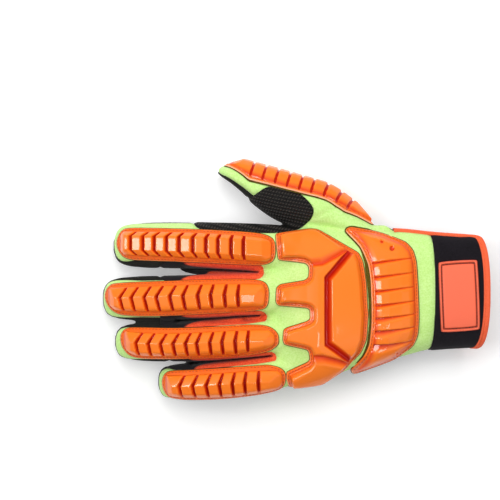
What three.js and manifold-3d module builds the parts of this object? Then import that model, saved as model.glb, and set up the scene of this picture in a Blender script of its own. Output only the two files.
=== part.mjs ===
// Impact work glove for the left hand, lying palm down as if a hand still filled it.
// Millimetres, +Z up. The fingers point towards -X and the thumb lies on the +Y side.
// The origin is on the resting surface, under the heel patch in the middle of the palm.
import * as THREE from "three";
import { mergeVertices } from "three/addons/utils/BufferGeometryUtils.js";
import Module from "manifold-3d";

const wasm = await Module();
wasm.setup();

// Fabric hand
const PALM_LENGTH = 112.5; // finger webs to cuff seam
const PALM_WIDTH = 110;
const PALM_THICKNESS = 40;
const CUFF_LENGTH = 34;
const CUFF_WIDTH = 76;
const CUFF_THICKNESS = 37;
const FABRIC_WALL = 2;
const SEAM_GAP = 0.3; // clearance between two pieces that are sewn or bonded together

// Where the fingers leave the palm, measured from the webs, and how low their tips hang
const FINGER_ROOT_INSET = 22;
const FINGER_TIP_HEIGHT = 7.8;

// One row for each finger. Sides and heights are of the section centres, and roll is in degrees.
const FINGERS = [
  { name: "index", length: 124.4, width: 31, thickness: 28, rootHeight: 22, rootSide: 34.5, tipSide: 37.4, roll: 1 },
  { name: "middle", length: 131.8, width: 30, thickness: 28, rootHeight: 23, rootSide: 5, tipSide: 1.8, roll: -3 },
  { name: "ring", length: 123.4, width: 26.4, thickness: 28, rootHeight: 22.4, rootSide: -23, tipSide: -28.8, roll: -12 },
  { name: "little", length: 93.8, width: 25, thickness: 26, rootHeight: 20.6, rootSide: -44, tipSide: -56.6, roll: -20 },
];

// A finger from root to tip, as shares of its own length, width, thickness and of the way from root to tip
const FINGER_SECTIONS = [
  { along: 0, width: 0.92, thickness: 1, drift: 0, drop: 0, seam: -0.4 },
  { along: 0.28, width: 1, thickness: 1, drift: 0.62, drop: -0.05, seam: 0 },
  { along: 0.64, width: 0.925, thickness: 0.88, drift: 0.93, drop: 0.16, seam: 0.42 },
  { along: 0.89, width: 0.86, thickness: 0.75, drift: 1, drop: 0.68, seam: 0.36 },
  { along: 0.965, width: 0.68, thickness: 0.53, drift: 1, drop: 0.93, seam: 0.15 },
  { along: 1, width: 0.3, thickness: 0.24, drift: 1, drop: 1, seam: 0 },
];
const FINGER_POWER = 2.5; // 2 is an ellipse, higher is squarer

// The palm from webs to cuff seam, as shares of PALM_LENGTH, PALM_WIDTH and PALM_THICKNESS
const PALM_SECTIONS = [
  { along: -0.116, side: -0.045, width: 0.85, middle: 0.38, thickness: 0.2, lean: 0.2, seam: -0.2 },
  { along: -0.06, side: -0.045, width: 0.94, middle: 0.4, thickness: 0.46, lean: 0.22, seam: -0.2 },
  { along: 0.12, side: -0.042, width: 1.0, middle: 0.486, thickness: 0.86, lean: 0.06, seam: -0.2 },
  { along: 0.34, side: -0.032, width: 0.975, middle: 0.52, thickness: 1, lean: 0, seam: -0.2 },
  { along: 0.59, side: 0, width: 0.868, middle: 0.528, thickness: 1.015, lean: 0, seam: -0.1 },
  { along: 0.84, side: 0.03, width: 0.806, middle: 0.513, thickness: 0.985, lean: 0.04, seam: 0.1 },
];
const PALM_TOP_POWER = 2.6;
const PALM_BASE_POWER = 3.4;

// The cuff, as shares of CUFF_LENGTH from its seam, CUFF_WIDTH and CUFF_THICKNESS
const CUFF_SECTIONS = [
  { along: 0, side: 0.072, width: 1.055, middle: 0.538, thickness: 1.033, lean: 0.095, seam: 0.1 },
  { along: 1, side: 0.08, width: 1, middle: 0.52, thickness: 1, lean: 0.2, seam: 0.1 },
];
const CUFF_POWER = 2.4;

// The thumb from tip to palm. It is rolled so that its back faces +Y, away from the fingers.
const THUMB_LENGTH = 119.6; // along X, tip to where it has sunk into the palm
const THUMB_TIP_BEFORE_WEBS = 31.6;
const THUMB_SPREAD = 57.7; // how far the tip stands out from the buried end
const THUMB_ROOT_SIDE = 30;
const THUMB_BREADTH = 29; // side to side across the nail
const THUMB_DEPTH = 33; // nail to pad
const THUMB_ROOT_HEIGHT = 20;
const THUMB_TIP_HEIGHT = 11;

// Shares of the thumb's own sizes, and roll in degrees
const THUMB_SECTIONS = [
  { along: 0, spread: 1, rise: 0, breadth: 0.22, depth: 0.08, roll: 75, seam: -0.3 },
  { along: 0.045, spread: 0.99, rise: 0.1, breadth: 0.58, depth: 0.25, roll: 74, seam: -0.4 },
  { along: 0.17, spread: 0.866, rise: 0.22, breadth: 0.84, depth: 0.55, roll: 70, seam: -0.45 },
  { along: 0.346, spread: 0.672, rise: 0.45, breadth: 0.97, depth: 0.89, roll: 60, seam: -0.3 },
  { along: 0.59, spread: 0.515, rise: 0.55, breadth: 0.98, depth: 0.97, roll: 40, seam: -0.25 },
  { along: 0.77, spread: 0.3, rise: 0.65, breadth: 0.95, depth: 0.92, roll: 24, seam: -0.1 },
  { along: 1, spread: 0, rise: 1, breadth: 0.75, depth: 0.72, roll: 8, seam: 0 },
];
const THUMB_POWER = 2.2;

// Moulded guards on the back
const FLANGE_THICKNESS = 1.6; // the thin sewn rim
const RIB_HEIGHT = 6.4;
const RIB_WIDTH_SHARE = 0.5; // flat top of a rib, of the guard's width
const RIM_WIDTH = 2.2;
const GROOVE_FLOOR = 2.2;
const GROOVE_WIDTH = 1.9; // half the width of the V, at its brim

// Finger guards, from the fingertip. Pitch is the distance between grooves, and sweep is how far
// a groove's ends run back towards the wrist.
const FINGER_GUARDS = {
  index: { tipGap: 2.6, length: 107.4, width: 21, firstGroove: 12, pitch: 8.3, grooves: 10, sweep: 3 },
  middle: { tipGap: 1.4, length: 112, width: 21.6, firstGroove: 13.1, pitch: 8.65, grooves: 10, sweep: 3 },
  ring: { tipGap: 3.6, length: 107, width: 19.6, firstGroove: 12.7, pitch: 8.15, grooves: 10, sweep: 3 },
  little: { tipGap: 2.4, length: 83.6, width: 19.4, firstGroove: 13.9, pitch: 8.6, grooves: 7, sweep: 3 },
};
const THUMB_GUARD = { tipGap: 5.2, length: 100, width: 19, firstGroove: 19.5, pitch: 8.15, grooves: 9, sweep: 0 };
const THUMB_GUARD_ROLL = 84; // degrees: this guard faces sideways, off the thumb's outer edge

const KNUCKLE_GUARD_LENGTH = 62;
const KNUCKLE_GUARD_WIDTH = 107;
const KNUCKLE_GUARD_GAP = 0.8; // from the end of the index guard
const KNUCKLE_RAISE = 6.2;
const CHANNEL_WIDTH = 3.4;
const CHANNEL_FLOOR = 2.4;

const WRIST_GUARD_LENGTH = 48;
const WRIST_GUARD_WIDTH = 100;
const WRIST_GUARD_GAP = 3.4; // behind the knuckle guard
const WRIST_RAISE = 4.6;
const WRIST_RIBS = 8;
const WRIST_RIB_PITCH = 9.2;
const WRIST_GROOVE_WIDTH = 1.8;

// Cuff trim
const BINDING_WIDTH = 4;
const BINDING_PROUD = 0.7;
const SLIT_LENGTH = 59; // the vent on the thumb side, from the cuff's end
const SLIT_WIDTH = 2.4;
const LABEL_LENGTH = 27;
const LABEL_WIDTH = 47.5;
const LABEL_THICKNESS = 1.6;
const LABEL_TO_BINDING = 2;

// Palm side
const PATCH_THICKNESS = 1.1;
const TIP_PATCH_LENGTH = 25;
const TIP_PATCH_TOP = 6.6; // how high a fingertip patch reaches
const WRIST_PANEL_LENGTH = 36;
const CROTCH_PATCH_LENGTH = 44;
const CROTCH_PATCH_INSET = 3; // from the sides of the palm
const HEEL_PATCH_LENGTH = 84;
const HEEL_PATCH_WIDTH = 77;

const ORIGIN_ALONG = 0.462; // where the origin lies, of PALM_LENGTH from the webs
const OUTER_SIDES = { finger: 10, palm: 20 };
const INNER_SIDES = { finger: 8, palm: 12 };
const FAR = 200; // beyond everything

const ORANGE_MOULDED = { color: 0xff7a1c, roughness: 0.35, metalness: 0 };
const YELLOW_SPANDEX = { color: 0xb9f56a, roughness: 0.9, metalness: 0 };
const BLACK_SUEDE = { color: 0x17171a, roughness: 0.95, metalness: 0 };
const BLACK_MESH = { color: 0x1c1b1c, roughness: 0.9, metalness: 0 };
const RED_ORANGE_KNIT = { color: 0xff5a2c, roughness: 0.85, metalness: 0 };
const BLACK_NEOPRENE = { color: 0x141318, roughness: 0.85, metalness: 0 };
const GREY_GRIP = { color: 0x4a4a52, roughness: 0.8, metalness: 0 };
const RUBBER_LABEL = { color: 0xff6f4e, roughness: 0.6, metalness: 0 };

const alongPalm = (share) => (share - ORIGIN_ALONG) * PALM_LENGTH;
const webX = alongPalm(0);
const cuffSeamX = alongPalm(1);
const cuffEndX = cuffSeamX + CUFF_LENGTH;

// Section rows in millimetres: centre (x, y, z), half sizes across and up, roll, lean and seam height.
function palmRows() {
  const palm = PALM_SECTIONS.map((s) => ({
    x: alongPalm(s.along),
    y: s.side * PALM_WIDTH,
    z: s.middle * PALM_THICKNESS,
    across: (s.width * PALM_WIDTH) / 2,
    up: (s.thickness * PALM_THICKNESS) / 2,
    lean: s.lean * PALM_THICKNESS,
    roll: 0,
    seam: s.seam,
    topPower: PALM_TOP_POWER,
    basePower: PALM_BASE_POWER,
  }));
  const cuff = CUFF_SECTIONS.map((s) => ({
    x: cuffSeamX + s.along * CUFF_LENGTH,
    y: s.side * CUFF_WIDTH,
    z: s.middle * CUFF_THICKNESS,
    across: (s.width * CUFF_WIDTH) / 2,
    up: (s.thickness * CUFF_THICKNESS) / 2,
    lean: s.lean * CUFF_THICKNESS,
    roll: 0,
    seam: s.seam,
    topPower: CUFF_POWER,
    basePower: CUFF_POWER,
  }));
  return [...palm, ...cuff];
}

function fingerRows(finger) {
  const rootX = webX + FINGER_ROOT_INSET;
  return FINGER_SECTIONS.map((s) => ({
    x: rootX - s.along * finger.length,
    y: finger.rootSide + s.drift * (finger.tipSide - finger.rootSide),
    z: finger.rootHeight - s.drop * (finger.rootHeight - FINGER_TIP_HEIGHT),
    across: (s.width * finger.width) / 2,
    up: (s.thickness * finger.thickness) / 2,
    lean: 0,
    roll: THREE.MathUtils.degToRad(finger.roll),
    seam: s.seam,
    topPower: FINGER_POWER,
    basePower: FINGER_POWER,
  })).reverse();
}

function thumbRows() {
  const tipX = webX - THUMB_TIP_BEFORE_WEBS;
  return THUMB_SECTIONS.map((s) => ({
    x: tipX + s.along * THUMB_LENGTH,
    y: THUMB_ROOT_SIDE + s.spread * THUMB_SPREAD,
    z: THUMB_TIP_HEIGHT + s.rise * (THUMB_ROOT_HEIGHT - THUMB_TIP_HEIGHT),
    across: (s.breadth * THUMB_BREADTH) / 2,
    up: (s.depth * THUMB_DEPTH) / 2,
    lean: 0,
    roll: THREE.MathUtils.degToRad(s.roll),
    seam: s.seam,
    topPower: THUMB_POWER,
    basePower: THUMB_POWER,
  }));
}

// A point of a section at (across, up) from its centre. Roll turns the section's own up towards +Y.
function sectionPoint(row, across, up) {
  return new THREE.Vector3(
    row.x + (row.lean * up) / row.up,
    row.y + across * Math.cos(row.roll) + up * Math.sin(row.roll),
    row.z - across * Math.sin(row.roll) + up * Math.cos(row.roll),
  );
}

// The row at any x, between the two rows beside it
function rowAt(rows, x) {
  let i = 1;
  while (i < rows.length - 1 && rows[i].x < x) i += 1;
  const [a, b] = [rows[i - 1], rows[i]];
  const t = THREE.MathUtils.clamp((x - a.x) / (b.x - a.x), 0, 1);
  const mixed = {};
  for (const key of Object.keys(a)) mixed[key] = a[key] + t * (b[key] - a[key]);
  return { ...mixed, x };
}

// A closed solid from a grid of points, grid[i][j], that wraps round in j and is capped at both ends
function wrappedSolid(grid) {
  const sides = grid[0].length;
  const points = grid.flat();
  const faces = [];
  for (let i = 0; i < grid.length - 1; i += 1) {
    for (let j = 0; j < sides; j += 1) {
      const k = (j + 1) % sides;
      const [a, b, c, d] = [i * sides + j, i * sides + k, (i + 1) * sides + k, (i + 1) * sides + j];
      faces.push([a, b, c], [a, c, d]);
    }
  }
  const centreOf = (ring) => ring.reduce((sum, p) => sum.add(p), new THREE.Vector3()).divideScalar(sides);
  const last = (grid.length - 1) * sides;
  points.push(centreOf(grid[0]), centreOf(grid[grid.length - 1]));
  for (let j = 0; j < sides; j += 1) {
    const k = (j + 1) % sides;
    faces.push([points.length - 2, k, j], [points.length - 1, last + j, last + k]);
  }
  return solidFrom(points, faces);
}

// A manifold-3d solid from points and triangles, turned right side out
function solidFrom(points, faces) {
  let volume = 0;
  for (const [a, b, c] of faces) volume += points[a].dot(new THREE.Vector3().crossVectors(points[b], points[c]));
  const ordered = volume > 0 ? faces : faces.map(([a, b, c]) => [a, c, b]);
  const geometry = new THREE.BufferGeometry().setFromPoints(points);
  geometry.setIndex(ordered.flat());
  return solidOf(geometry);
}

function solidOf(geometry) {
  const bare = geometry.clone();
  bare.deleteAttribute("normal");
  bare.deleteAttribute("uv");
  const merged = mergeVertices(bare, 1e-4);
  return new wasm.Manifold(
    new wasm.Mesh({
      numProp: 3,
      vertProperties: new Float32Array(merged.attributes.position.array),
      triVerts: new Uint32Array(merged.index.array),
    }),
  );
}

// A tube through the rows, with its skin moved out along its own normals by offset
function tube(rows, sides, offset) {
  const grid = rows.map((row) =>
    Array.from({ length: sides }, (_, j) => {
      const angle = (2 * Math.PI * j) / sides;
      const power = Math.sin(angle) > 0 ? row.topPower : row.basePower;
      const shaped = (v) => Math.sign(v) * Math.abs(v) ** (2 / power);
      return sectionPoint(row, row.across * shaped(Math.cos(angle)), row.up * shaped(Math.sin(angle)));
    }),
  );
  const last = grid.length - 1;
  const endStep = (i) => new THREE.Vector3(i === 0 ? -offset : i === last ? offset : 0, 0, 0);
  const moved = grid.map((ring, i) =>
    ring.map((point, j) => {
      const alongStep = grid[Math.min(i + 1, last)][j].clone().sub(grid[Math.max(i - 1, 0)][j]);
      const roundStep = ring[(j + 1) % sides].clone().sub(ring[(j + sides - 1) % sides]);
      const normal = roundStep.cross(alongStep).normalize();
      return point.clone().addScaledVector(normal, offset).add(endStep(i));
    }),
  );
  return wrappedSolid(moved);
}

const PALM_ROWS = palmRows();
const THUMB_ROWS = thumbRows();
const FINGER_ROWS = FINGERS.map(fingerRows);

// The whole hand, grown or shrunk by offset. The hollow one runs on past the cuff's end, so that it opens there.
const grownHands = new Map();
function hand(offset) {
  if (!grownHands.has(offset)) {
    const end = PALM_ROWS[PALM_ROWS.length - 1];
    const palm = offset < 0 ? [...PALM_ROWS, { ...end, x: end.x + CUFF_LENGTH }] : PALM_ROWS;
    const sides = offset < 0 ? INNER_SIDES : OUTER_SIDES;
    let whole = tube(palm, sides.palm, offset).add(tube(THUMB_ROWS, sides.finger, offset));
    for (const rows of FINGER_ROWS) whole = whole.add(tube(rows, sides.finger, offset));
    grownHands.set(offset, whole);
  }
  return grownHands.get(offset);
}

// Everything on the palm side of the side seams, moved up by shift
function palmSide(shift) {
  const below = (rows, side) => {
    const lateral = 0.4 + side;
    const ends = rows.map((row, i) => {
      const beyond = i === 0 ? -1 : i === rows.length - 1 ? 1 : 0;
      return { ...row, x: row.x + beyond * 2 };
    });
    return wrappedSolid(
      ends.map((row) => {
        const reach = row.across + lateral;
        const top = row.seam * row.up + shift;
        const base = -row.up - FAR / 10;
        return [
          sectionPoint(row, -reach, base),
          sectionPoint(row, reach, base),
          sectionPoint(row, reach, top),
          sectionPoint(row, -reach, top),
        ].map((p) => p.setX(row.x + (row.lean * row.seam)));
      }),
    );
  };
  let region = below(PALM_ROWS, 2).add(below(THUMB_ROWS, 0));
  for (const rows of FINGER_ROWS) region = region.add(below(rows, 0));
  return region;
}

// A vertical prism over a plan outline
function prism(outline, low = -FAR, high = FAR) {
  const shape = new THREE.Shape(outline.map(([x, y]) => new THREE.Vector2(x, y)));
  const geometry = new THREE.ExtrudeGeometry(shape, { depth: high - low, bevelEnabled: false, curveSegments: 8 });
  return solidOf(geometry.translate(0, 0, low));
}

function box(low, high) {
  const size = high.map((v, i) => v - low[i]);
  const geometry = new THREE.BoxGeometry(...size);
  return solidOf(geometry.translate(low[0] + size[0] / 2, low[1] + size[1] / 2, low[2] + size[2] / 2));
}

// The outline moved outwards by distance, corner by corner (inwards where distance is negative)
function grow(outline, distance) {
  const count = outline.length;
  const area = outline.reduce((sum, [x, y], i) => {
    const [nx, ny] = outline[(i + 1) % count];
    return sum + x * ny - nx * y;
  }, 0);
  const turn = Math.sign(area);
  const corner = outline.map(([x, y]) => new THREE.Vector2(x, y));
  return corner.map((p, i) => {
    const before = p.clone().sub(corner[(i + count - 1) % count]).normalize();
    const after = corner[(i + 1) % count].clone().sub(p).normalize();
    const normals = [before, after].map((d) => new THREE.Vector2(d.y, -d.x).multiplyScalar(turn));
    const middle = normals[0].clone().add(normals[1]).normalize();
    const reach = distance / Math.max(0.5, middle.dot(normals[0]));
    return [p.x + middle.x * reach, p.y + middle.y * reach];
  });
}

// An outline given as shares of a length and a width, placed at a corner
const placed = (shares, x, y, length, width) => shares.map(([u, v]) => [x + u * length, y + v * width]);

// The outline with each corner cut off
function rounded(outline, radius) {
  const count = outline.length;
  return outline.flatMap(([x, y], i) => {
    const p = new THREE.Vector2(x, y);
    const towards = (n) => {
      const q = new THREE.Vector2(...outline[(n + count) % count]);
      const reach = Math.min(radius, q.distanceTo(p) / 2.2);
      return q.sub(p).setLength(reach).add(p);
    };
    const [a, b] = [towards(i - 1), towards(i + 1)];
    const curve = new THREE.QuadraticBezierCurve(a, p, b);
    return [0, 1].map((t) => curve.getPoint(t).toArray());
  });
}

function largest(solid) {
  return solid.decompose().sort((a, b) => b.volume() - a.volume())[0];
}

// A slab that follows a finger's back. Lines run across it at x(i, side), and low and high are
// heights above the fabric at (i, side).
function slab(rows, count, sides, x, low, high) {
  const layer = (height) =>
    Array.from({ length: count }, (_, i) =>
      sides.map((_, j) => {
        const [px, across] = x(i, j);
        const row = rowAt(rows, px);
        const share = Math.min(1, Math.abs(across) / row.across);
        const up = row.up * (1 - share ** row.topPower) ** (1 / row.topPower);
        return sectionPoint(row, across, up + height(i, j));
      }),
    );
  const [bottom, top] = [layer(low), layer(high)];
  // Each cross line becomes a ring: over the top and back along the bottom
  return wrappedSolid(bottom.map((line, i) => [...top[i], ...line.slice().reverse()]));
}

// A V groove across a guard: its two ends run back towards the wrist by sweep
function vGroove(row, half, sweep) {
  const floor = row.up + GROOVE_FLOOR;
  const brim = row.up + RIB_HEIGHT * 1.3;
  const shares = sweep > 0 ? [-1, 0, 1] : [-1, 1];
  const arms = shares.map((arm) => ({ x: row.x + Math.abs(arm) * sweep, across: arm * half }));
  const point = (arm, step, up) => sectionPoint({ ...row, x: arm.x + step }, arm.across, up);
  return wrappedSolid(
    arms.map((arm) => [point(arm, 0, floor), point(arm, GROOVE_WIDTH, brim), point(arm, -GROOVE_WIDTH, brim)]),
  );
}

// A ribbed guard along the back of a finger or thumb. Its fingertip end is at startX.
function ribbedGuard(rows, startX, guard) {
  const half = guard.width / 2;
  const flat = RIB_WIDTH_SHARE;
  const foot = (half - RIM_WIDTH) / half;
  const sides = [-1, -foot, -flat, flat, foot, 1];
  const raise = [0, 0, 1, 1, 0, 0];
  const blunt = guard.width / 4;
  const stations = [
    { at: 0, width: 0.55, raise: 0 },
    { at: blunt / 2, width: 0.92, raise: 0 },
    { at: blunt * 1.6, width: 1, raise: 1 },
    { at: guard.length * 0.45, width: 1, raise: 1 },
    { at: guard.length - blunt, width: 1, raise: 1 },
    { at: guard.length - blunt / 2, width: 0.92, raise: 0 },
    { at: guard.length, width: 0.7, raise: 0 },
  ];
  const height = (i, j) => FLANGE_THICKNESS + (RIB_HEIGHT - FLANGE_THICKNESS) * stations[i].raise * raise[j];
  const place = (i, j) => [startX + stations[i].at, sides[j] * stations[i].width * half];
  let solid = slab(rows, stations.length, sides, place, () => -1, height);
  for (let n = 0; n < guard.grooves; n += 1) {
    const row = rowAt(rows, startX + guard.firstGroove + n * guard.pitch);
    solid = solid.subtract(vGroove(row, half, guard.sweep));
  }
  return largest(solid.subtract(hand(SEAM_GAP)));
}

// Plan outlines, as shares of their own length (towards the cuff) and width (towards the thumb)
const KNUCKLE_OUTLINE = [
  [0.012, 0.965], [0.06, 0.985], [0.4, 1], [0.49, 0.99], [0.78, 0.89], [0.92, 0.84], [0.975, 0.7], [1, 0.5],
  [0.985, 0.3], [0.93, 0.225], [0.52, 0.018], [0.13, 0], [0.12, 0.06], [0.14, 0.105], [0.37, 0.18], [0.36, 0.24],
  [0.1, 0.275], [0.09, 0.365], [0.36, 0.43], [0.36, 0.495], [0.03, 0.52], [0, 0.545], [0.008, 0.635],
  [0.34, 0.685], [0.34, 0.77], [0.03, 0.815],
];
const KNUCKLE_CHANNEL = [[0.8, 0.87], [0.555, 0.7], [0.555, 0.285], [0.82, 0.165]];
const WRIST_OUTLINE = [
  [0, 0.985], [0.08, 1], [0.82, 0.89], [0.94, 0.82], [1, 0.6], [1, 0.38], [0.94, 0.22], [0.62, 0.11],
  [0.08, 0], [0.02, 0.05], [0.29, 0.19], [0.37, 0.44], [0.32, 0.7], [0.17, 0.87],
];
const MESH_OUTLINE = [
  [0, 0.8], [0.05, 0.925], [0.223, 0.957], [0.512, 1], [0.694, 1], [0.826, 0.946], [0.9, 0.88], [0.975, 0.73],
  [1, 0.54], [0.975, 0.387], [0.9, 0.185], [0.793, 0.043], [0.686, 0], [0.595, 0.02], [0.518, 0.185],
  [0.438, 0.3], [0, 0.6],
];
const CROTCH_OUTLINE = [
  [0.06, 1], [0.85, 1], [1, 0.5], [1, 0.02], [0.4, 0], [0.5, 0.2], [0.18, 0.3], [0.45, 0.47],
  [0.04, 0.57], [0.4, 0.72], [0.04, 0.8],
];
const HEEL_OUTLINE = [
  [0, 0.78], [0.08, 0.98], [0.22, 1], [0.62, 0.77], [0.93, 0.5], [1, 0.2], [0.85, 0.02], [0.5, 0], [0.16, 0.2],
  [0.02, 0.5],
];

const knuckleX = rootEndOf("index") + KNUCKLE_GUARD_GAP;
const knuckleLowY = -0.537 * PALM_WIDTH;
const wristX = knuckleX + KNUCKLE_GUARD_LENGTH + WRIST_GUARD_GAP - 0.37 * WRIST_GUARD_LENGTH;
const wristLowY = -0.455 * PALM_WIDTH;

function fingertipX(name) {
  return webX + FINGER_ROOT_INSET - FINGERS.find((f) => f.name === name).length;
}

// Where a finger guard ends towards the knuckles
function rootEndOf(name) {
  return fingertipX(name) + FINGER_GUARDS[name].tipGap + FINGER_GUARDS[name].length;
}

function fingerGuard(name) {
  const index = FINGERS.findIndex((f) => f.name === name);
  const guard = FINGER_GUARDS[name];
  return ribbedGuard(FINGER_ROWS[index], fingertipX(name) + guard.tipGap, guard);
}

function thumbGuard() {
  const rows = THUMB_ROWS.map((row) => ({ ...row, roll: THREE.MathUtils.degToRad(THUMB_GUARD_ROLL) }));
  return ribbedGuard(rows, THUMB_ROWS[0].x + THUMB_GUARD.tipGap, THUMB_GUARD);
}

// A plate on the back of the hand: a sewn rim, and a body that stands up inside it
function raisedPlate(outline, raise) {
  const low = PALM_THICKNESS / 2;
  const rim = prism(outline, low).intersect(hand(FLANGE_THICKNESS));
  const body = prism(grow(outline, -RIM_WIDTH), low).intersect(hand(raise));
  return rim.add(body);
}

// A strip of even width along a path, as an outline
function strip(path, width) {
  const point = path.map(([x, y]) => new THREE.Vector2(x, y));
  const side = (sign) =>
    point.map((p, i) => {
      const before = point[Math.max(i - 1, 0)];
      const after = point[Math.min(i + 1, point.length - 1)];
      const along = after.clone().sub(before).normalize();
      return [p.x - (along.y * sign * width) / 2, p.y + (along.x * sign * width) / 2];
    });
  return [...side(1), ...side(-1).reverse()];
}

function knuckleGuard() {
  const place = (shares) => placed(shares, knuckleX, knuckleLowY, KNUCKLE_GUARD_LENGTH, KNUCKLE_GUARD_WIDTH);
  const channel = prism(strip(place(KNUCKLE_CHANNEL), CHANNEL_WIDTH), 0).subtract(hand(CHANNEL_FLOOR));
  const body = raisedPlate(place(KNUCKLE_OUTLINE), KNUCKLE_RAISE).subtract(channel);
  return largest(body.subtract(hand(SEAM_GAP)));
}

// A V groove along the hand at side y
function wristGroove(startX, endX, y) {
  const skinZ = (x) => {
    const row = rowAt(PALM_ROWS, x);
    const share = Math.abs(y - row.y) / row.across;
    return row.z + row.up * (1 - share ** row.topPower) ** (1 / row.topPower);
  };
  const ends = [startX, endX].map((x) => {
    const floor = new THREE.Vector3(x, y, skinZ(x) + GROOVE_FLOOR);
    const brim = WRIST_RAISE * 1.5;
    return [-1, 1].reduce((ring, side) => {
      return [...ring, new THREE.Vector3(x, y + side * WRIST_GROOVE_WIDTH, floor.z + brim - GROOVE_FLOOR)];
    }, [floor]);
  });
  return wrappedSolid(ends);
}

function wristGuard() {
  const outline = placed(WRIST_OUTLINE, wristX, wristLowY, WRIST_GUARD_LENGTH, WRIST_GUARD_WIDTH);
  let body = raisedPlate(outline, WRIST_RAISE);
  const ribStartX = wristX + 0.42 * WRIST_GUARD_LENGTH;
  const ribEndX = wristX + 0.93 * WRIST_GUARD_LENGTH;
  const middleY = wristLowY + 0.49 * WRIST_GUARD_WIDTH;
  for (let n = 0; n < WRIST_RIBS - 1; n += 1) {
    const y = middleY + (n - (WRIST_RIBS - 2) / 2) * WRIST_RIB_PITCH;
    body = body.subtract(wristGroove(ribStartX, ribEndX, y));
  }
  return largest(body.subtract(hand(SEAM_GAP)));
}

// A slanted slice across the hand that leans as the palm rows do: everything past x
function pastX(x, lean) {
  const row = rowAt(PALM_ROWS, x);
  const slope = lean / row.up;
  const low = -FAR / 10;
  const high = FAR / 2;
  const profile = [
    [x + slope * (low - row.z), low],
    [x + FAR, low],
    [x + FAR, high],
    [x + slope * (high - row.z), high],
  ];
  const shape = new THREE.Shape(profile.map(([u, v]) => new THREE.Vector2(u, v)));
  const geometry = new THREE.ExtrudeGeometry(shape, { depth: FAR, bevelEnabled: false });
  return solidOf(geometry.rotateX(Math.PI / 2).translate(0, FAR / 2, 0));
}

const leanAt = (x) => rowAt(PALM_ROWS, x).lean;

// The binding goes round the cuff's end and along both lips of the vent on the thumb side
const slitX = cuffEndX - SLIT_LENGTH;
const slitZ = (x) => {
  const row = rowAt(PALM_ROWS, x);
  return row.z + row.seam * row.up;
};
function bindingZone(clear) {
  const lip = BINDING_WIDTH + SLIT_WIDTH / 2 + clear;
  const along = box(
    [slitX - clear, 0.2 * CUFF_WIDTH, slitZ(cuffEndX) - lip],
    [cuffEndX + FAR, FAR, slitZ(cuffEndX) + lip],
  );
  return along.add(pastX(cuffEndX - BINDING_WIDTH - clear, leanAt(cuffEndX)));
}
function slit() {
  const z = slitZ(cuffEndX);
  const wedge = [
    [slitX + BINDING_WIDTH, z - SLIT_WIDTH / 6],
    [cuffEndX + FAR, z - SLIT_WIDTH / 2],
    [cuffEndX + FAR, z + SLIT_WIDTH / 2],
    [slitX + BINDING_WIDTH, z + SLIT_WIDTH / 6],
  ];
  const shape = new THREE.Shape(wedge.map(([u, v]) => new THREE.Vector2(u, v)));
  const geometry = new THREE.ExtrudeGeometry(shape, { depth: FAR, bevelEnabled: false });
  return solidOf(geometry.rotateX(Math.PI / 2).translate(0, FAR + 0.2 * CUFF_WIDTH, 0));
}

// The mesh gusset fills the web between thumb and index finger and runs on along that finger
function meshOutline() {
  const length = 0.748 * PALM_LENGTH;
  const width = 0.29 * PALM_WIDTH;
  return placed(MESH_OUTLINE, webX - 0.42 * PALM_LENGTH, 0.71 * PALM_WIDTH, length, -width);
}

// The side walls of one slot between two fingers, seen from above
function slotOutline(upper, lower, webEndX) {
  const edgeOf = (rows, x, sign) => {
    const row = rowAt(rows, x);
    return row.y + sign * row.across * Math.cos(row.roll);
  };
  const startX = webEndX - 0.62 * PALM_WIDTH;
  const wall = 3.6;
  const middle = (x) => (edgeOf(upper, x, -1) + edgeOf(lower, x, 1)) / 2;
  const reach = (x) => (edgeOf(upper, x, -1) - edgeOf(lower, x, 1)) / 2 + wall;
  const xs = [startX, (startX + webEndX) / 2, webEndX - 2.5];
  const top = xs.map((x) => [x, middle(x) + reach(x)]);
  const base = xs.map((x) => [x, middle(x) - reach(x)]).reverse();
  return [...top, [webEndX, middle(webEndX)], ...base];
}
const SLOTS = [
  { name: "fourchette_index_middle", pair: [0, 1], end: 0.004 },
  { name: "fourchette_middle_ring", pair: [1, 2], end: 0.018 },
  { name: "fourchette_ring_little", pair: [2, 3], end: 0.07 },
];
const SLOT_FLOOR = 0.26; // of PALM_THICKNESS, where the side walls meet the palm
const MESH_FLOOR = 0.33;

const aboveFloor = box([-FAR * 2, -FAR * 2, 0], [FAR * 2, FAR * 2, FAR]);

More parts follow.
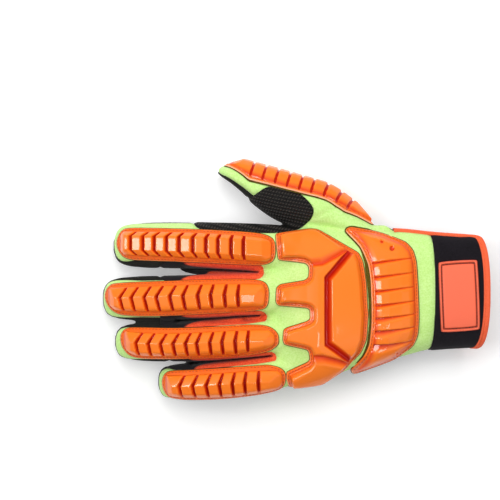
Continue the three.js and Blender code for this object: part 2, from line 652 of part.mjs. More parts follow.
// Cut the fabric hand into its sewn pieces
function fabricPieces() {
  const whole = hand(0).subtract(hand(-FABRIC_WALL));
  const zone = bindingZone(SEAM_GAP);
  let cloth = whole.subtract(zone);
  const pieces = {};
  const binding = hand(BINDING_PROUD).subtract(hand(-FABRIC_WALL - BINDING_PROUD / 2));
  pieces.cuff_binding = binding.intersect(bindingZone(0)).subtract(slit());
  const past = (clear) => pastX(cuffSeamX + clear, leanAt(cuffSeamX));
  pieces.cuff = cloth.intersect(past(SEAM_GAP / 2));
  cloth = cloth.subtract(past(-SEAM_GAP / 2));
  const take = (outline, floor) => {
    const taken = cloth.intersect(prism(grow(outline, -SEAM_GAP / 2), floor * PALM_THICKNESS));
    cloth = cloth.subtract(prism(grow(outline, SEAM_GAP / 2), floor * PALM_THICKNESS - SEAM_GAP));
    return taken;
  };
  for (const { name, pair, end } of SLOTS) {
    const [upper, lower] = pair.map((i) => FINGER_ROWS[i]);
    pieces[name] = take(slotOutline(upper, lower, alongPalm(end)), SLOT_FLOOR);
  }
  pieces.thumb_mesh = take(meshOutline(), MESH_FLOOR);
  const palm = cloth.intersect(palmSide(-SEAM_GAP / 2));
  pieces.back_panel = cloth.subtract(palmSide(SEAM_GAP / 2)).subtract(palmSide(-SEAM_GAP / 2));
  const panelX = cuffSeamX - WRIST_PANEL_LENGTH;
  pieces.wrist_panel = palm.intersect(pastX(panelX + SEAM_GAP / 2, leanAt(panelX)));
  pieces.palm_panel = palm.subtract(pastX(panelX - SEAM_GAP / 2, leanAt(panelX)));
  return pieces;
}

// A patch on the palm side, one layer thick, over a plan outline
function palmPatch(outline, top) {
  const layer = hand(PATCH_THICKNESS).subtract(hand(SEAM_GAP));
  return layer.intersect(prism(outline, -FAR, top));
}

function tipPatch(rows, startX, length) {
  const end = rowAt(rows, startX + length);
  const outline = [
    [startX - 2, end.y - end.across],
    [startX + length, end.y - end.across],
    [startX + length, end.y + end.across],
    [startX - 2, end.y + end.across],
  ];
  return palmPatch(grow(outline, 0.5), TIP_PATCH_TOP);
}

function thumbTipPatch() {
  const startX = THUMB_ROWS[0].x;
  const [tip, end] = [THUMB_ROWS[0], rowAt(THUMB_ROWS, startX + TIP_PATCH_LENGTH * 1.2)];
  const outline = [
    [tip.x - 2, tip.y],
    [tip.x - 2, tip.y - 8],
    [end.x - 8, end.y - THUMB_DEPTH / 2],
    [end.x + 4, end.y],
  ];
  return palmPatch(outline, TIP_PATCH_TOP * 1.6);
}

function labelPatch() {
  const endX = cuffEndX - BINDING_WIDTH - LABEL_TO_BINDING + leanAt(cuffEndX) * 0.75;
  const y = 0.027 * CUFF_WIDTH;
  const corners = [
    [endX - LABEL_LENGTH - 0.8, y - LABEL_WIDTH / 2],
    [endX, y - LABEL_WIDTH / 2 + 0.8],
    [endX - 0.8, y + LABEL_WIDTH / 2],
    [endX - LABEL_LENGTH, y + LABEL_WIDTH / 2 - 0.8],
  ];
  return prism(rounded(corners, 2.4), CUFF_THICKNESS / 2).intersect(hand(LABEL_THICKNESS)).subtract(hand(SEAM_GAP));
}

const crotchOutline = placed(
  CROTCH_OUTLINE,
  webX - 0.34 * PALM_LENGTH,
  -0.525 * PALM_WIDTH + CROTCH_PATCH_INSET,
  CROTCH_PATCH_LENGTH,
  PALM_WIDTH - 2 * CROTCH_PATCH_INSET,
);
const heelOutline = placed(
  HEEL_OUTLINE, -HEEL_PATCH_LENGTH / 2 - 2, -HEEL_PATCH_WIDTH / 2 + 6, HEEL_PATCH_LENGTH, HEEL_PATCH_WIDTH,
);

const glove = new THREE.Group();
function addPiece(name, solid, finish) {
  const mesh = largest(solid.intersect(aboveFloor)).getMesh();
  const stride = mesh.numProp;
  const position = new Float32Array(mesh.numVert * 3);
  for (let i = 0; i < mesh.numVert; i += 1) {
    position.set(mesh.vertProperties.subarray(i * stride, i * stride + 3), i * 3);
  }
  const geometry = new THREE.BufferGeometry().setAttribute("position", new THREE.BufferAttribute(position, 3));
  geometry.setIndex(new THREE.BufferAttribute(mesh.triVerts, 1));
  const flat = geometry.toNonIndexed();
  flat.computeVertexNormals();
  const piece = new THREE.Mesh(flat, new THREE.MeshStandardMaterial(finish));
  piece.name = name;
  glove.add(piece);
}

const fabric = fabricPieces();
addPiece("back_panel", fabric.back_panel, YELLOW_SPANDEX);
addPiece("palm_panel", fabric.palm_panel, BLACK_SUEDE);
addPiece("wrist_panel", fabric.wrist_panel, GREY_GRIP);
addPiece("thumb_mesh", fabric.thumb_mesh, BLACK_MESH);
for (const { name } of SLOTS) addPiece(name, fabric[name], RED_ORANGE_KNIT);
addPiece("cuff", fabric.cuff, BLACK_NEOPRENE);
addPiece("cuff_binding", fabric.cuff_binding, RED_ORANGE_KNIT);
addPiece("label_patch", labelPatch(), RUBBER_LABEL);
for (const { name } of FINGERS) addPiece(`${name}_guard`, fingerGuard(name), ORANGE_MOULDED);
addPiece("thumb_guard", thumbGuard(), ORANGE_MOULDED);
addPiece("knuckle_guard", knuckleGuard(), ORANGE_MOULDED);
addPiece("wrist_guard", wristGuard(), ORANGE_MOULDED);
FINGERS.forEach(({ name }, i) => {
  addPiece(`${name}_tip_patch`, tipPatch(FINGER_ROWS[i], fingertipX(name), TIP_PATCH_LENGTH), GREY_GRIP);
});
addPiece("thumb_tip_patch", thumbTipPatch(), GREY_GRIP);
addPiece("crotch_patch", palmPatch(crotchOutline, 0.4 * PALM_THICKNESS), GREY_GRIP);
addPiece("heel_patch", palmPatch(heelOutline, 0.4 * PALM_THICKNESS), GREY_GRIP);

export default glove;
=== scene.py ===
# %% [markdown]
# # A left-hand impact glove, palm down
#
# The glove lies as if a hand still filled it: fingers to -X, thumb to +Y, cuff to +X and the back
# of the hand up. It is sewn from thin panels and carries moulded rubber guards. In Blender it could
# be sculpted, or cut from cloth and simulated. Here every surface is worked out with numpy instead,
# because a table of sections and a few outlines give crisp seams and can be read and changed.

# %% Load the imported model
import math

import bpy
import numpy as np
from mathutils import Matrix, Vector


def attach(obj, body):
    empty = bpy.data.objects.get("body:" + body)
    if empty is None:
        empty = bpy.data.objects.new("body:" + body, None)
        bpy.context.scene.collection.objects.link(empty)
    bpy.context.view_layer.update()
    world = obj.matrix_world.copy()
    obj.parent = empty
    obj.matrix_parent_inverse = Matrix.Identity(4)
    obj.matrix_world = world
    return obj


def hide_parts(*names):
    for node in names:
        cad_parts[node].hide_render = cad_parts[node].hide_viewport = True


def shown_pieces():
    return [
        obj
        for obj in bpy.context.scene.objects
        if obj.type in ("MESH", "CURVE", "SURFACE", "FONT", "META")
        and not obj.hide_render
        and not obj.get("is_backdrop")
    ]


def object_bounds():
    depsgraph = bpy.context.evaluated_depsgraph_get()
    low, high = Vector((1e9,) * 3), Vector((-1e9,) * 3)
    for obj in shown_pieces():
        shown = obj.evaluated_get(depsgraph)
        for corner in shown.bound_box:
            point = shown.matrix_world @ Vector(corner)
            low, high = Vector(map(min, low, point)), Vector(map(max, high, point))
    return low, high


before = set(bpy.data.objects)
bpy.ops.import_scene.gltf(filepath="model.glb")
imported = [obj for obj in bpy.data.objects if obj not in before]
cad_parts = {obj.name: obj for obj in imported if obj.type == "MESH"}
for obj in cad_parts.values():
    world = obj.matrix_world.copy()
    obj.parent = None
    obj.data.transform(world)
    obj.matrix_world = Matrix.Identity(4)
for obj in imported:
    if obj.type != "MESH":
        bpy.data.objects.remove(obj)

for leftover in ("Cube", "Camera", "Light"):  # Blender's own start-up objects
    if leftover in bpy.data.objects:
        bpy.data.objects.remove(bpy.data.objects[leftover])
cad_low, cad_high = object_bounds()

MM = 0.001
print("nodes to dress:", len(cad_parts))

# %% [markdown]
# ## Where things are
#
# Tables are in millimetres. Outlines of guards were read off the photograph, which looks straight
# down on the back of the hand, so one rule turns its pixels into places on the plan.

# %% From the photograph's pixels to the plan
MM_PER_PIXEL = 0.68
ORIGIN_PIXEL = np.array([340.0, 300.0])


def plan(pixels):
    """Plan points in mm: x = (px - 340) * 0.68 and y = (300 - py) * 0.68."""
    return (np.array(pixels, float) - ORIGIN_PIXEL) * (MM_PER_PIXEL, -MM_PER_PIXEL)


# %% [markdown]
# ## The hand's sections
#
# Palm, fingers and thumb are tubes. A row of a table is one section: a superellipse with its
# centre, its half width and half height, a roll about X and a lean of its top towards the wrist.
# The last column is the height of the side seam, as a share of the half height.

# %% Section tables
COLUMNS = ("x", "y", "z", "across", "up", "lean", "roll", "top", "base", "seam")
PALM = np.array(
    [
        (-65.0, -5.0, 15.2, 46.8, 4.0, 8.0, 0, 2.6, 3.4, -0.2),
        (-58.7, -5.0, 16.0, 51.7, 9.2, 8.8, 0, 2.6, 3.4, -0.2),
        (-38.5, -4.4, 19.4, 54.8, 17.2, 2.4, 0, 2.6, 3.4, -0.2),
        (-13.7, -2.4, 20.8, 52.4, 20.0, 0.0, 0, 2.6, 3.4, -0.2),
        (14.4, 1.6, 21.1, 46.4, 20.3, 0.0, 0, 2.6, 3.4, -0.1),
        (42.5, 4.4, 20.5, 43.0, 19.7, 1.6, 0, 2.6, 3.3, 0.1),
        (60.5, 5.7, 19.9, 39.9, 19.1, 3.5, 0, 2.4, 2.6, 0.1),
        (94.5, 5.6, 19.2, 37.6, 18.5, 7.8, 0, 2.4, 2.4, 0.1),
    ]
)
THUMB = np.array(
    [
        (-83.6, 87.7, 11.0, 3.0, 1.2, 0, 75, 2.2, 2.2, -0.4),
        (-81.2, 87.6, 11.4, 6.4, 2.9, 0, 75, 2.2, 2.2, -0.35),
        (-78.2, 87.2, 12.0, 8.4, 4.4, 0, 74, 2.2, 2.2, -0.3),
        (-68.0, 82.6, 13.0, 11.4, 7.6, 0, 72, 2.2, 2.2, -0.25),
        (-57.8, 76.3, 14.2, 12.9, 11.2, 0, 68, 2.2, 2.2, -0.2),
        (-42.2, 68.9, 15.3, 14.1, 14.5, 0, 60, 2.2, 2.2, -0.25),
        (-27.2, 63.8, 15.8, 14.3, 15.6, 0, 50, 2.2, 2.2, -0.25),
        (-10.2, 59.0, 16.0, 14.2, 15.8, 0, 38, 2.2, 2.2, -0.25),
        (8.5, 47.3, 17.0, 13.8, 15.2, 0, 24, 2.2, 2.2, -0.2),
        (21.8, 38.5, 18.0, 12.8, 13.6, 0, 15, 2.2, 2.2, -0.1),
        (36.0, 30.0, 20.0, 10.9, 11.9, 0, 8, 2.2, 2.2, 0.0),
    ]
)
FINGER_ROOT_X = -30.0
FINGER_TIP_Z = 7.8
# length, width, thickness, height of the root, side of the root, side of the tip, roll, seam tilt
FINGERS = {
    "index": (124.4, 32.2, 28.0, 22.0, 34.8, 37.3, 1.0, 0.45),
    "middle": (131.8, 31.4, 28.0, 23.0, 7.2, 0.9, -3.0, 0.0),
    "ring": (123.4, 27.2, 28.0, 22.4, -23.4, -28.9, -10.0, 0.0),
    "little": (93.8, 26.0, 26.0, 20.6, -44.2, -56.2, -16.0, 0.0),
}
# along, width, thickness, drift from root side to tip side, drop from root to tip, seam
FINGER_PROFILE = np.array(
    [
        (0.0, 0.92, 1.00, 0.00, 0.00, -0.40),
        (0.14, 0.95, 1.00, 0.36, -0.03, -0.20),
        (0.28, 0.96, 0.99, 0.62, -0.05, 0.15),
        (0.46, 0.97, 0.94, 0.80, 0.02, 0.50),
        (0.64, 0.98, 0.88, 0.93, 0.17, 0.60),
        (0.78, 0.97, 0.82, 0.98, 0.42, 0.60),
        (0.89, 0.92, 0.74, 1.00, 0.70, 0.42),
        (0.94, 0.85, 0.64, 1.00, 0.84, 0.20),
        (0.97, 0.73, 0.52, 1.00, 0.93, 0.00),
        (0.99, 0.51, 0.36, 1.00, 0.985, -0.20),
        (1.0, 0.22, 0.16, 1.00, 1.00, -0.40),
    ]
)


def finger_table(length, width, thickness, root_z, root_y, tip_y, roll, _):
    """Sections of one finger: the profile's shares times the finger's own sizes, tip first."""
    along, wide, thick, drift, drop, seam = FINGER_PROFILE[::-1].T
    power = np.full_like(along, 2.5)
    return np.column_stack(
        (
            FINGER_ROOT_X - along * length,
            root_y + drift * (tip_y - root_y),
            root_z - drop * (root_z - FINGER_TIP_Z),
            wide * width / 2,
            thick * thickness / 2,
            0 * along,
            roll + 0 * along,
            power,
            power,
            seam,
        )
    )


TABLES = {"palm": PALM, "thumb": THUMB}
TABLES.update({name: finger_table(*sizes) for name, sizes in FINGERS.items()})
SEAM_TILT = {"palm": 0.0, "thumb": 0.0, **{name: sizes[-1] for name, sizes in FINGERS.items()}}
print("tubes:", {name: len(table) for name, table in TABLES.items()})


# %% A smooth curve through a table
def smooth_table(table, x):
    """Every column at any x: cubic pieces whose slope at a row is the harmonic mean of the slopes
    on both sides, or flat where they differ in sign, so the curve never overshoots a row."""
    knots, rows = table[:, 0], table
    step = np.diff(knots)[:, None]
    slope = np.diff(rows, axis=0) / step
    left, right = slope[:-1], slope[1:]
    same = left * right > 0
    first, second = 2 * step[1:] + step[:-1], step[1:] + 2 * step[:-1]
    safe_left, safe_right = np.where(same, left, 1), np.where(same, right, 1)
    inner = np.where(same, (first + second) / (first / safe_left + second / safe_right), 0)
    tangent = np.concatenate((slope[:1], inner, slope[-1:]))
    x = np.clip(np.atleast_1d(x), knots[0], knots[-1])
    at = np.clip(np.searchsorted(knots, x, side="right") - 1, 0, len(knots) - 2)
    t = ((x - knots[at]) / step[at, 0])[:, None]
    value = (
        rows[at] * (1 + 2 * t) * (1 - t) ** 2
        + rows[at + 1] * t**2 * (3 - 2 * t)
        + step[at] * (tangent[at] * t * (1 - t) ** 2 + tangent[at + 1] * t**2 * (t - 1))
    )
    return dict(zip(COLUMNS, value.T))


# %% [markdown]
# ## One skin for the whole hand
#
# Each tube is a grid of section points. The real glove has soft webs where the tubes meet.
# Joining them with Boolean cuts would leave hard creases, so they go through a voxel remesh,
# which grows one even skin over all of them, and a little smoothing. That skin is later cut into
# the sewn panels.


# %% Tubes
def superellipse(angle, across, up, top, base):
    """Point of a section: (across * cos^(2/n), up * sin^(2/n)), signs kept, n set by the half."""
    power = np.where(np.sin(angle) > 0, top, base)
    side, rise = np.cos(angle), np.sin(angle)
    return (
        across * np.sign(side) * np.abs(side) ** (2 / power),
        up * np.sign(rise) * np.abs(rise) ** (2 / power),
    )


def tube_faces(count, sides):
    """Triangles between rings of equal size, with a fan at both ends. The points in the middle of
    the two ends come after those of the rings."""
    i, j = np.meshgrid(np.arange(count - 1), np.arange(sides), indexing="ij")
    k = (j + 1) % sides
    a, b, c, d = i * sides + j, i * sides + k, (i + 1) * sides + k, (i + 1) * sides + j
    wall = np.concatenate((np.stack((a, b, c), -1), np.stack((a, c, d), -1))).reshape(-1, 3)
    around, ahead = np.arange(sides), (np.arange(sides) + 1) % sides
    last = (count - 1) * sides
    start = np.stack((np.full(sides, count * sides), ahead, around), -1)
    end = np.stack((np.full(sides, count * sides + 1), last + around, last + ahead), -1)
    return np.concatenate((wall, start, end))


def tube(table, spacing=1.6, sides=72):
    """Closed tube: superellipse sections along x, rolled about x and leaning, with fanned ends."""
    reach = table[-1, 0] - table[0, 0]
    count = int(reach / spacing)
    ease = (1 - np.cos(np.linspace(0, math.pi, count))) / 2
    x = table[0, 0] + reach * (0.5 * ease + 0.5 * np.linspace(0, 1, count))
    s = {key: value[:, None] for key, value in smooth_table(table, x).items()}
    angle = np.linspace(0, 2 * math.pi, sides, endpoint=False)[None]
    a, u = superellipse(angle, s["across"], s["up"], s["top"], s["base"])
    roll = np.radians(s["roll"])
    ring = np.stack(
        (
            s["x"] + s["lean"] * u / s["up"],
            s["y"] + a * np.cos(roll) + u * np.sin(roll),
            s["z"] - a * np.sin(roll) + u * np.cos(roll),
        ),
        axis=-1,
    )
    points = np.concatenate((ring.reshape(-1, 3), ring[:1].mean(1), ring[-1:].mean(1)))
    return points, tube_faces(count, sides)[:, ::-1]


# %% Meshes from arrays
def mesh_from(name, points_mm, faces):
    """A mesh from an array of points in mm and an array of faces with equal corner counts."""
    mesh = bpy.data.meshes.new(name)
    corners = faces.shape[1]
    mesh.vertices.add(len(points_mm))
    mesh.vertices.foreach_set("co", (np.asarray(points_mm, np.float32) * MM).ravel())
    mesh.loops.add(faces.size)
    mesh.loops.foreach_set("vertex_index", np.asarray(faces, np.int32).ravel())
    mesh.polygons.add(len(faces))
    mesh.polygons.foreach_set("loop_start", np.arange(0, faces.size, corners, dtype=np.int32))
    mesh.polygons.foreach_set("use_smooth", np.ones(len(faces), bool))
    mesh.update(calc_edges=True)
    return mesh


def read_mesh(mesh):
    """Points in mm and triangles of a mesh."""
    points = np.empty(len(mesh.vertices) * 3, np.float32)
    mesh.vertices.foreach_get("co", points)
    mesh.calc_loop_triangles()
    corners = np.empty(len(mesh.loop_triangles) * 3, np.int32)
    mesh.loop_triangles.foreach_get("vertices", corners)
    return points.reshape(-1, 3).astype(float) / MM, corners.reshape(-1, 3)


def show(mesh):
    """Put a mesh into the scene as an object of the same name."""
    piece = bpy.data.objects.new(mesh.name, mesh)
    bpy.context.scene.collection.objects.link(piece)
    return piece


# %% Grow the skin
VOXEL_MM = 1.15


def remeshed(points, faces, voxel_mm):
    """One even skin around all closed shells in the arrays, by Blender's voxel remesh."""
    rough = show(mesh_from("rough", points, faces))
    remesh = rough.modifiers.new("skin", "REMESH")
    remesh.mode, remesh.voxel_size = "VOXEL", voxel_mm * MM
    ready = rough.evaluated_get(bpy.context.evaluated_depsgraph_get())
    result = read_mesh(ready.to_mesh())
    ready.to_mesh_clear()
    bpy.data.objects.remove(rough)
    return result


def vertex_normals(points, tri):
    """Area-weighted mean of the face normals round each point."""
    face = np.cross(points[tri[:, 1]] - points[tri[:, 0]], points[tri[:, 2]] - points[tri[:, 0]])
    total = np.zeros_like(points)
    for corner in range(3):
        for axis in range(3):
            total[:, axis] += np.bincount(tri[:, corner], face[:, axis], len(points))
    return total / np.maximum(np.linalg.norm(total, axis=1), 1e-9)[:, None]


def relaxed(points, tri, rounds, share=0.5):
    """Each round moves every point by share of the way to the mean of its neighbours."""
    edges = np.unique(np.sort(np.concatenate((tri[:, :2], tri[:, 1:], tri[:, ::2])), 1), axis=0)
    a, b = edges.T
    degree = np.bincount(edges.ravel(), minlength=len(points))[:, None]
    for _ in range(rounds):
        total = np.zeros_like(points)
        for axis in range(3):
            total[:, axis] = np.bincount(a, points[b, axis], len(points))
            total[:, axis] += np.bincount(b, points[a, axis], len(points))
        points = points + share * (total / degree - points)
    return points


FILLS = [  # soft bridges between fingers that touch, and the bulge where the vent begins
    np.array(
        [
            (-110.0, 22.0, 9.0, 1.5, 2.5, 0, 0, 2.2, 2.2, 0),
            (-104.0, 21.8, 10.5, 4.0, 5.0, 0, 0, 2.2, 2.2, 0),
            (-93.0, 21.2, 12.2, 4.6, 6.2, 0, 0, 2.2, 2.2, 0),
            (-80.0, 20.4, 13.6, 4.8, 7.0, 0, 0, 2.2, 2.2, 0),
            (-66.0, 19.4, 15.0, 5.2, 8.0, 0, 0, 2.2, 2.2, 0),
            (-48.0, 18.6, 16.0, 6.0, 10.0, 0, 0, 2.2, 2.2, 0),
        ]
    ),
    np.array(
        [
            (18.0, 44.0, 20.0, 3.0, 4.0, 0, 0, 2.2, 2.2, 0),
            (24.0, 44.5, 21.0, 6.6, 7.0, 0, 0, 2.2, 2.2, 0),
            (30.0, 44.6, 21.5, 6.8, 7.0, 0, 0, 2.2, 2.2, 0),
            (35.0, 43.9, 21.5, 4.9, 6.0, 0, 0, 2.2, 2.2, 0),
            (39.0, 43.0, 21.5, 2.0, 3.0, 0, 0, 2.2, 2.2, 0),
        ]
    ),
]
shells, start = [], 0
for table in (*TABLES.values(), *FILLS):
    shell_points, shell_faces = tube(table)
    shells.append((shell_points, shell_faces + start))
    start += len(shell_points)
skin_points, skin_tri = remeshed(*(np.concatenate(part) for part in zip(*shells)), VOXEL_MM)
skin_points = relaxed(skin_points, skin_tri, 6)
SLITS = [  # fingers that touch, from the web towards the tips: plan points
    plan([(257.5, 272.2), (238, 271), (205, 268.8), (184, 268.4)]),
    plan([(260, 315.4), (240, 316.4), (203, 319.2), (178, 320.6)]),
    plan([(271, 355.8), (245, 358.6), (205, 362.4), (192, 363.6)]),
]
FOLDS = [  # creases of the loose fabric: plan points, depth and width in mm
    (plan([(313, 225), (330, 227.5), (345, 229.5)]), 1.3, 1.8),
    (plan([(315, 217.5), (325, 213), (335, 208)]), 0.7, 1.7),
    (plan([(381, 228.6), (388, 230.6), (395, 231)]), 1.8, 1.3),
    (plan([(420, 262), (421.5, 300), (420, 335)]), 0.6, 2.4),
]


def to_edges(points, starts, ends):
    """Distance in the plan of each point to each edge, and the share of the edge passed there."""
    p, a, b = points[:, None, :2], starts[None], ends[None]
    along = np.clip(((p - a) * (b - a)).sum(2) / ((b - a) ** 2).sum(2), 0, 1)
    return np.sqrt(((a + along[..., None] * (b - a) - p) ** 2).sum(2)), along


def to_path(points, path):
    """Plain distance in the plan to an open path, and the share of the path passed there."""
    gap, along = to_edges(points, path[:-1], path[1:])
    near = gap.argmin(1)
    return gap.min(1), (near + along[np.arange(len(near)), near]) / (len(path) - 1)


def in_slit(points, slit):
    """1 in the middle of a slit and 0 beside it: exp(-(distance / width)^2), 0.5 to 1.5 mm wide."""
    gap, share = to_path(points, slit)
    return np.exp(-((gap / (0.5 + 1.0 * share)) ** 2))


SLIT_DEPTH, SLIT_FLOOR = 9.0, 11
FOLDS_ABOVE = 22  # the folds are on the back of the hand only
for slit in SLITS:
    deep, above = SLIT_DEPTH * in_slit(skin_points, slit), skin_points[:, 2] - SLIT_FLOOR
    skin_points[:, 2] -= np.where(skin_points[:, 2] > SLIT_FLOOR, np.minimum(deep, above), 0)
for fold, depth, width in FOLDS:
    deep = depth * np.exp(-((to_path(skin_points, fold)[0] / width) ** 2))
    skin_points[:, 2] -= np.where(skin_points[:, 2] > FOLDS_ABOVE, deep, 0)
skin_normals = vertex_normals(skin_points, skin_tri)
print("skin:", len(skin_points), "points,", len(skin_tri), "triangles")

# %% [markdown]
# ## Where the seams run
#
# Each seam is the zero line of a field: a number at every point of the skin, positive on one side.
# The side seam's field is the height above the seam in the section's own frame. Where two tubes
# meet, their fields are blended, so the seam runs on smoothly from finger to palm.


# %% Fields
def tube_frame(table, points, tilt=0.0):
    """For each point: how far out it lies (1 on the tube's skin), and its height over the seam."""
    x, row_x = points[:, 0], points[:, 0]
    for _ in range(2):
        s = smooth_table(table, row_x)
        roll = np.radians(s["roll"])
        dy, dz = points[:, 1] - s["y"], points[:, 2] - s["z"]
        a = dy * np.cos(roll) - dz * np.sin(roll)
        u = dy * np.sin(roll) + dz * np.cos(roll)
        row_x = x - s["lean"] * np.clip(u / s["up"], -1, 1)
    power = np.where(u > 0, s["top"], s["base"])
    out = (np.abs(a / s["across"]) ** power + np.abs(u / s["up"]) ** power) ** (1 / power)
    beyond = np.maximum(table[0, 0] - row_x, 0) + np.maximum(row_x - table[-1, 0], 0)
    return out + beyond / 10, u - (s["seam"] - tilt * np.clip(a / s["across"], -1, 1)) * s["up"]


def seam_height(points):
    """Height over the side seam, each tube weighted by exp(-(how far out) / 0.05)."""
    each = [tube_frame(table, points, SEAM_TILT[name]) for name, table in TABLES.items()]
    out, height = (np.array(v) for v in zip(*each))
    weight = np.exp(-(out - out.min(0)) / 0.05)
    return (weight * height).sum(0) / weight.sum(0)


def inside(points, outline):
    """Distance to a closed outline in the plan, positive inside; the sign counts crossings."""
    gap = to_edges(points, outline, np.roll(outline, -1, 0))[0].min(1)
    p = points[:, None, :2]
    a, b = outline[None], np.roll(outline, -1, 0)[None]
    above = (a[..., 1] > p[..., 1]) != (b[..., 1] > p[..., 1])
    run = np.where(b[..., 1] == a[..., 1], 1, b[..., 1] - a[..., 1])
    cross_x = a[..., 0] + (p[..., 1] - a[..., 1]) / run * (b[..., 0] - a[..., 0])
    odd = (above & (p[..., 0] < cross_x)).sum(1) % 2
    return np.where(odd == 1, gap, -gap)


def softened(outline, rounds=2, first=0.25):
    """Corner cutting: each edge loses a share at both ends, a quarter from round two on."""
    for share in (first, 0.25, 0.25)[:rounds]:
        ahead = np.roll(outline, -1, 0)
        pairs = ((1 - share) * outline + share * ahead, share * outline + (1 - share) * ahead)
        outline = np.stack(pairs, 1).reshape(-1, 2)
    return outline


GUSSET = softened(
    plan(
        [
            (193, 222), (199, 229), (220, 230.5), (255, 232.5),
            (277, 232.5), (293, 230), (302, 227),
            (311, 220), (314, 211), (311, 204), (302, 194.6), (289, 188), (276, 186), (265, 187),
            (255.7, 194.6), (246, 200), (193, 214),
        ]
    )
)
SLOTS = {
    "index_middle": plan(
        [
            (160, 262), (184, 263), (259, 264.5), (264.5, 270), (262, 277), (253, 279), (191, 281),
            (160, 282),
        ]
    ),
    "middle_ring": plan(
        [(160, 314), (199, 314), (259, 310.5), (267, 315), (265, 321.5), (191, 326), (160, 327)]
    ),
    "ring_little": plan(
        [(166, 360), (210, 359), (270, 351.5), (276.5, 355.5), (275, 361), (200, 368), (166, 370)]
    ),
}
SLOT_FLOOR = 10.4
GUSSET_FLOOR = 13.2
CUFF_SEAM = (60.5, 19.9, 3.5 / 19.1)
CUFF_END = (91.6, 19.2, 7.8 / 18.5)
WRIST_PANEL_X = 24.5
VENT_X, VENT_Z, VENT_LENGTH = 38.0, 21.1, 56
VENT_FROM_Y = 22


def past(points, line):
    """Distance past a slice across the hand that leans towards the wrist at its top."""
    x, z, slope = line
    return points[:, 0] - x - slope * (points[:, 2] - z)


def vent_field(points):
    """Positive away from the vent on the thumb side, which opens slowly towards the cuff's end."""
    opening = np.clip((points[:, 0] - VENT_X) / VENT_LENGTH, 0, 1) + 0.25
    away = np.abs(points[:, 2] - VENT_Z) - opening
    off_side = np.maximum(VENT_X - points[:, 0], VENT_FROM_Y - points[:, 1])
    return np.maximum(away, off_side)


FIELDS = {
    "past_end": -past(skin_points, CUFF_END),
    "vent": vent_field(skin_points),
    "cuff": past(skin_points, CUFF_SEAM),
    "gusset": np.minimum(inside(skin_points, GUSSET), skin_points[:, 2] - GUSSET_FLOOR),
    **{
        name: np.minimum(inside(skin_points, softened(line, 1)), skin_points[:, 2] - SLOT_FLOOR)
        for name, line in SLOTS.items()
    },
    "back": seam_height(skin_points),
    "wrist": skin_points[:, 0] - WRIST_PANEL_X,
}
FIRST_FIELD = 6  # after the place and the normal
COLUMN = {name: FIRST_FIELD + i for i, name in enumerate(FIELDS)}
skin = np.column_stack((skin_points, skin_normals, *FIELDS.values()))
print("fields:", list(FIELDS))


# %% Cutting
def cut(data, tri, column):
    """Split every triangle that the field's zero line crosses, and put new points on that line."""
    value = np.where(np.abs(data[:, column]) < 1e-6, 1e-6, data[:, column])
    side = value[tri] > 0
    count = side.sum(1)
    mixed = (count == 1) | (count == 2)
    crossed, rows = tri[mixed], np.arange(mixed.sum())
    lone = np.where(count[mixed] == 1, side[mixed].argmax(1), (~side[mixed]).argmax(1))
    a, b, c = (crossed[rows, (lone + step) % 3] for step in range(3))
    pairs = np.sort(np.column_stack((np.concatenate((a, a)), np.concatenate((b, c)))), 1)
    edges, where = np.unique(pairs, axis=0, return_inverse=True)
    where = where.ravel() + len(data)
    low, high = edges.T
    share = (value[low] / (value[low] - value[high]))[:, None]
    fresh = data[low] + share * (data[high] - data[low])
    fresh[:, column] = 0
    ab, ac = where[: len(rows)], where[len(rows) :]
    pieces = (tri[~mixed], *(np.column_stack(t) for t in ((a, ab, ac), (ab, b, c), (ab, c, ac))))
    return np.concatenate((data, fresh)), np.concatenate(pieces)


def keep(data, tri, wanted):
    """Only the wanted triangles, with the points that they use."""
    used, corners = np.unique(tri[wanted], return_inverse=True)
    return data[used], corners.reshape(-1, 3)


def parted(data, tri, column):
    """Cut along a field and give both sides: first where it is positive, then the rest."""
    data, tri = cut(data, tri, column)
    positive = data[tri, column].mean(1) > 0
    return keep(data, tri, positive), keep(data, tri, ~positive)


rest, _ = parted(skin, skin_tri, COLUMN["past_end"])
rest, _ = parted(*rest, COLUMN["vent"])
panels = {}
for field in ("cuff", "gusset", *SLOTS):
    panels[field], rest = parted(*rest, COLUMN[field])
panels["back"], palm_side = parted(*rest, COLUMN["back"])
panels["wrist"], panels["palm"] = parted(*palm_side, COLUMN["wrist"])
print({name: len(tri) for name, (_, tri) in panels.items()})

# %% [markdown]
# ## Finishes
#
# One helper adds a node and sets it up; one turns photograph colours into Blender's linear ones.
# Grain sizes are real sizes in millimetres. Where the real grain is finer than a pixel of the
# picture, it is drawn coarser, and a comment says so.


# %% Colour and node helpers
def colour(code):
    """Linear RGBA of an sRGB hex code: ((c + 0.055) / 1.055) ** 2.4 above the small linear part."""
    c = np.array([int(code[i : i + 2], 16) for i in (1, 3, 5)]) / 255
    return (*np.where(c > 0.04045, ((c + 0.055) / 1.055) ** 2.4, c / 12.92), 1.0)


def add(tree, kind, links=None, **settings):
    """Add a node; settings are its properties or, by name, its inputs; links feed its inputs."""
    node = tree.nodes.new("ShaderNode" + kind)
    for key, value in settings.items():
        if hasattr(node, key):
            setattr(node, key, value)
        else:
            node.inputs[key.replace("_", " ")].default_value = value
    for key, source in (links or {}).items():
        tree.links.new(source, node.inputs[key])
    return node


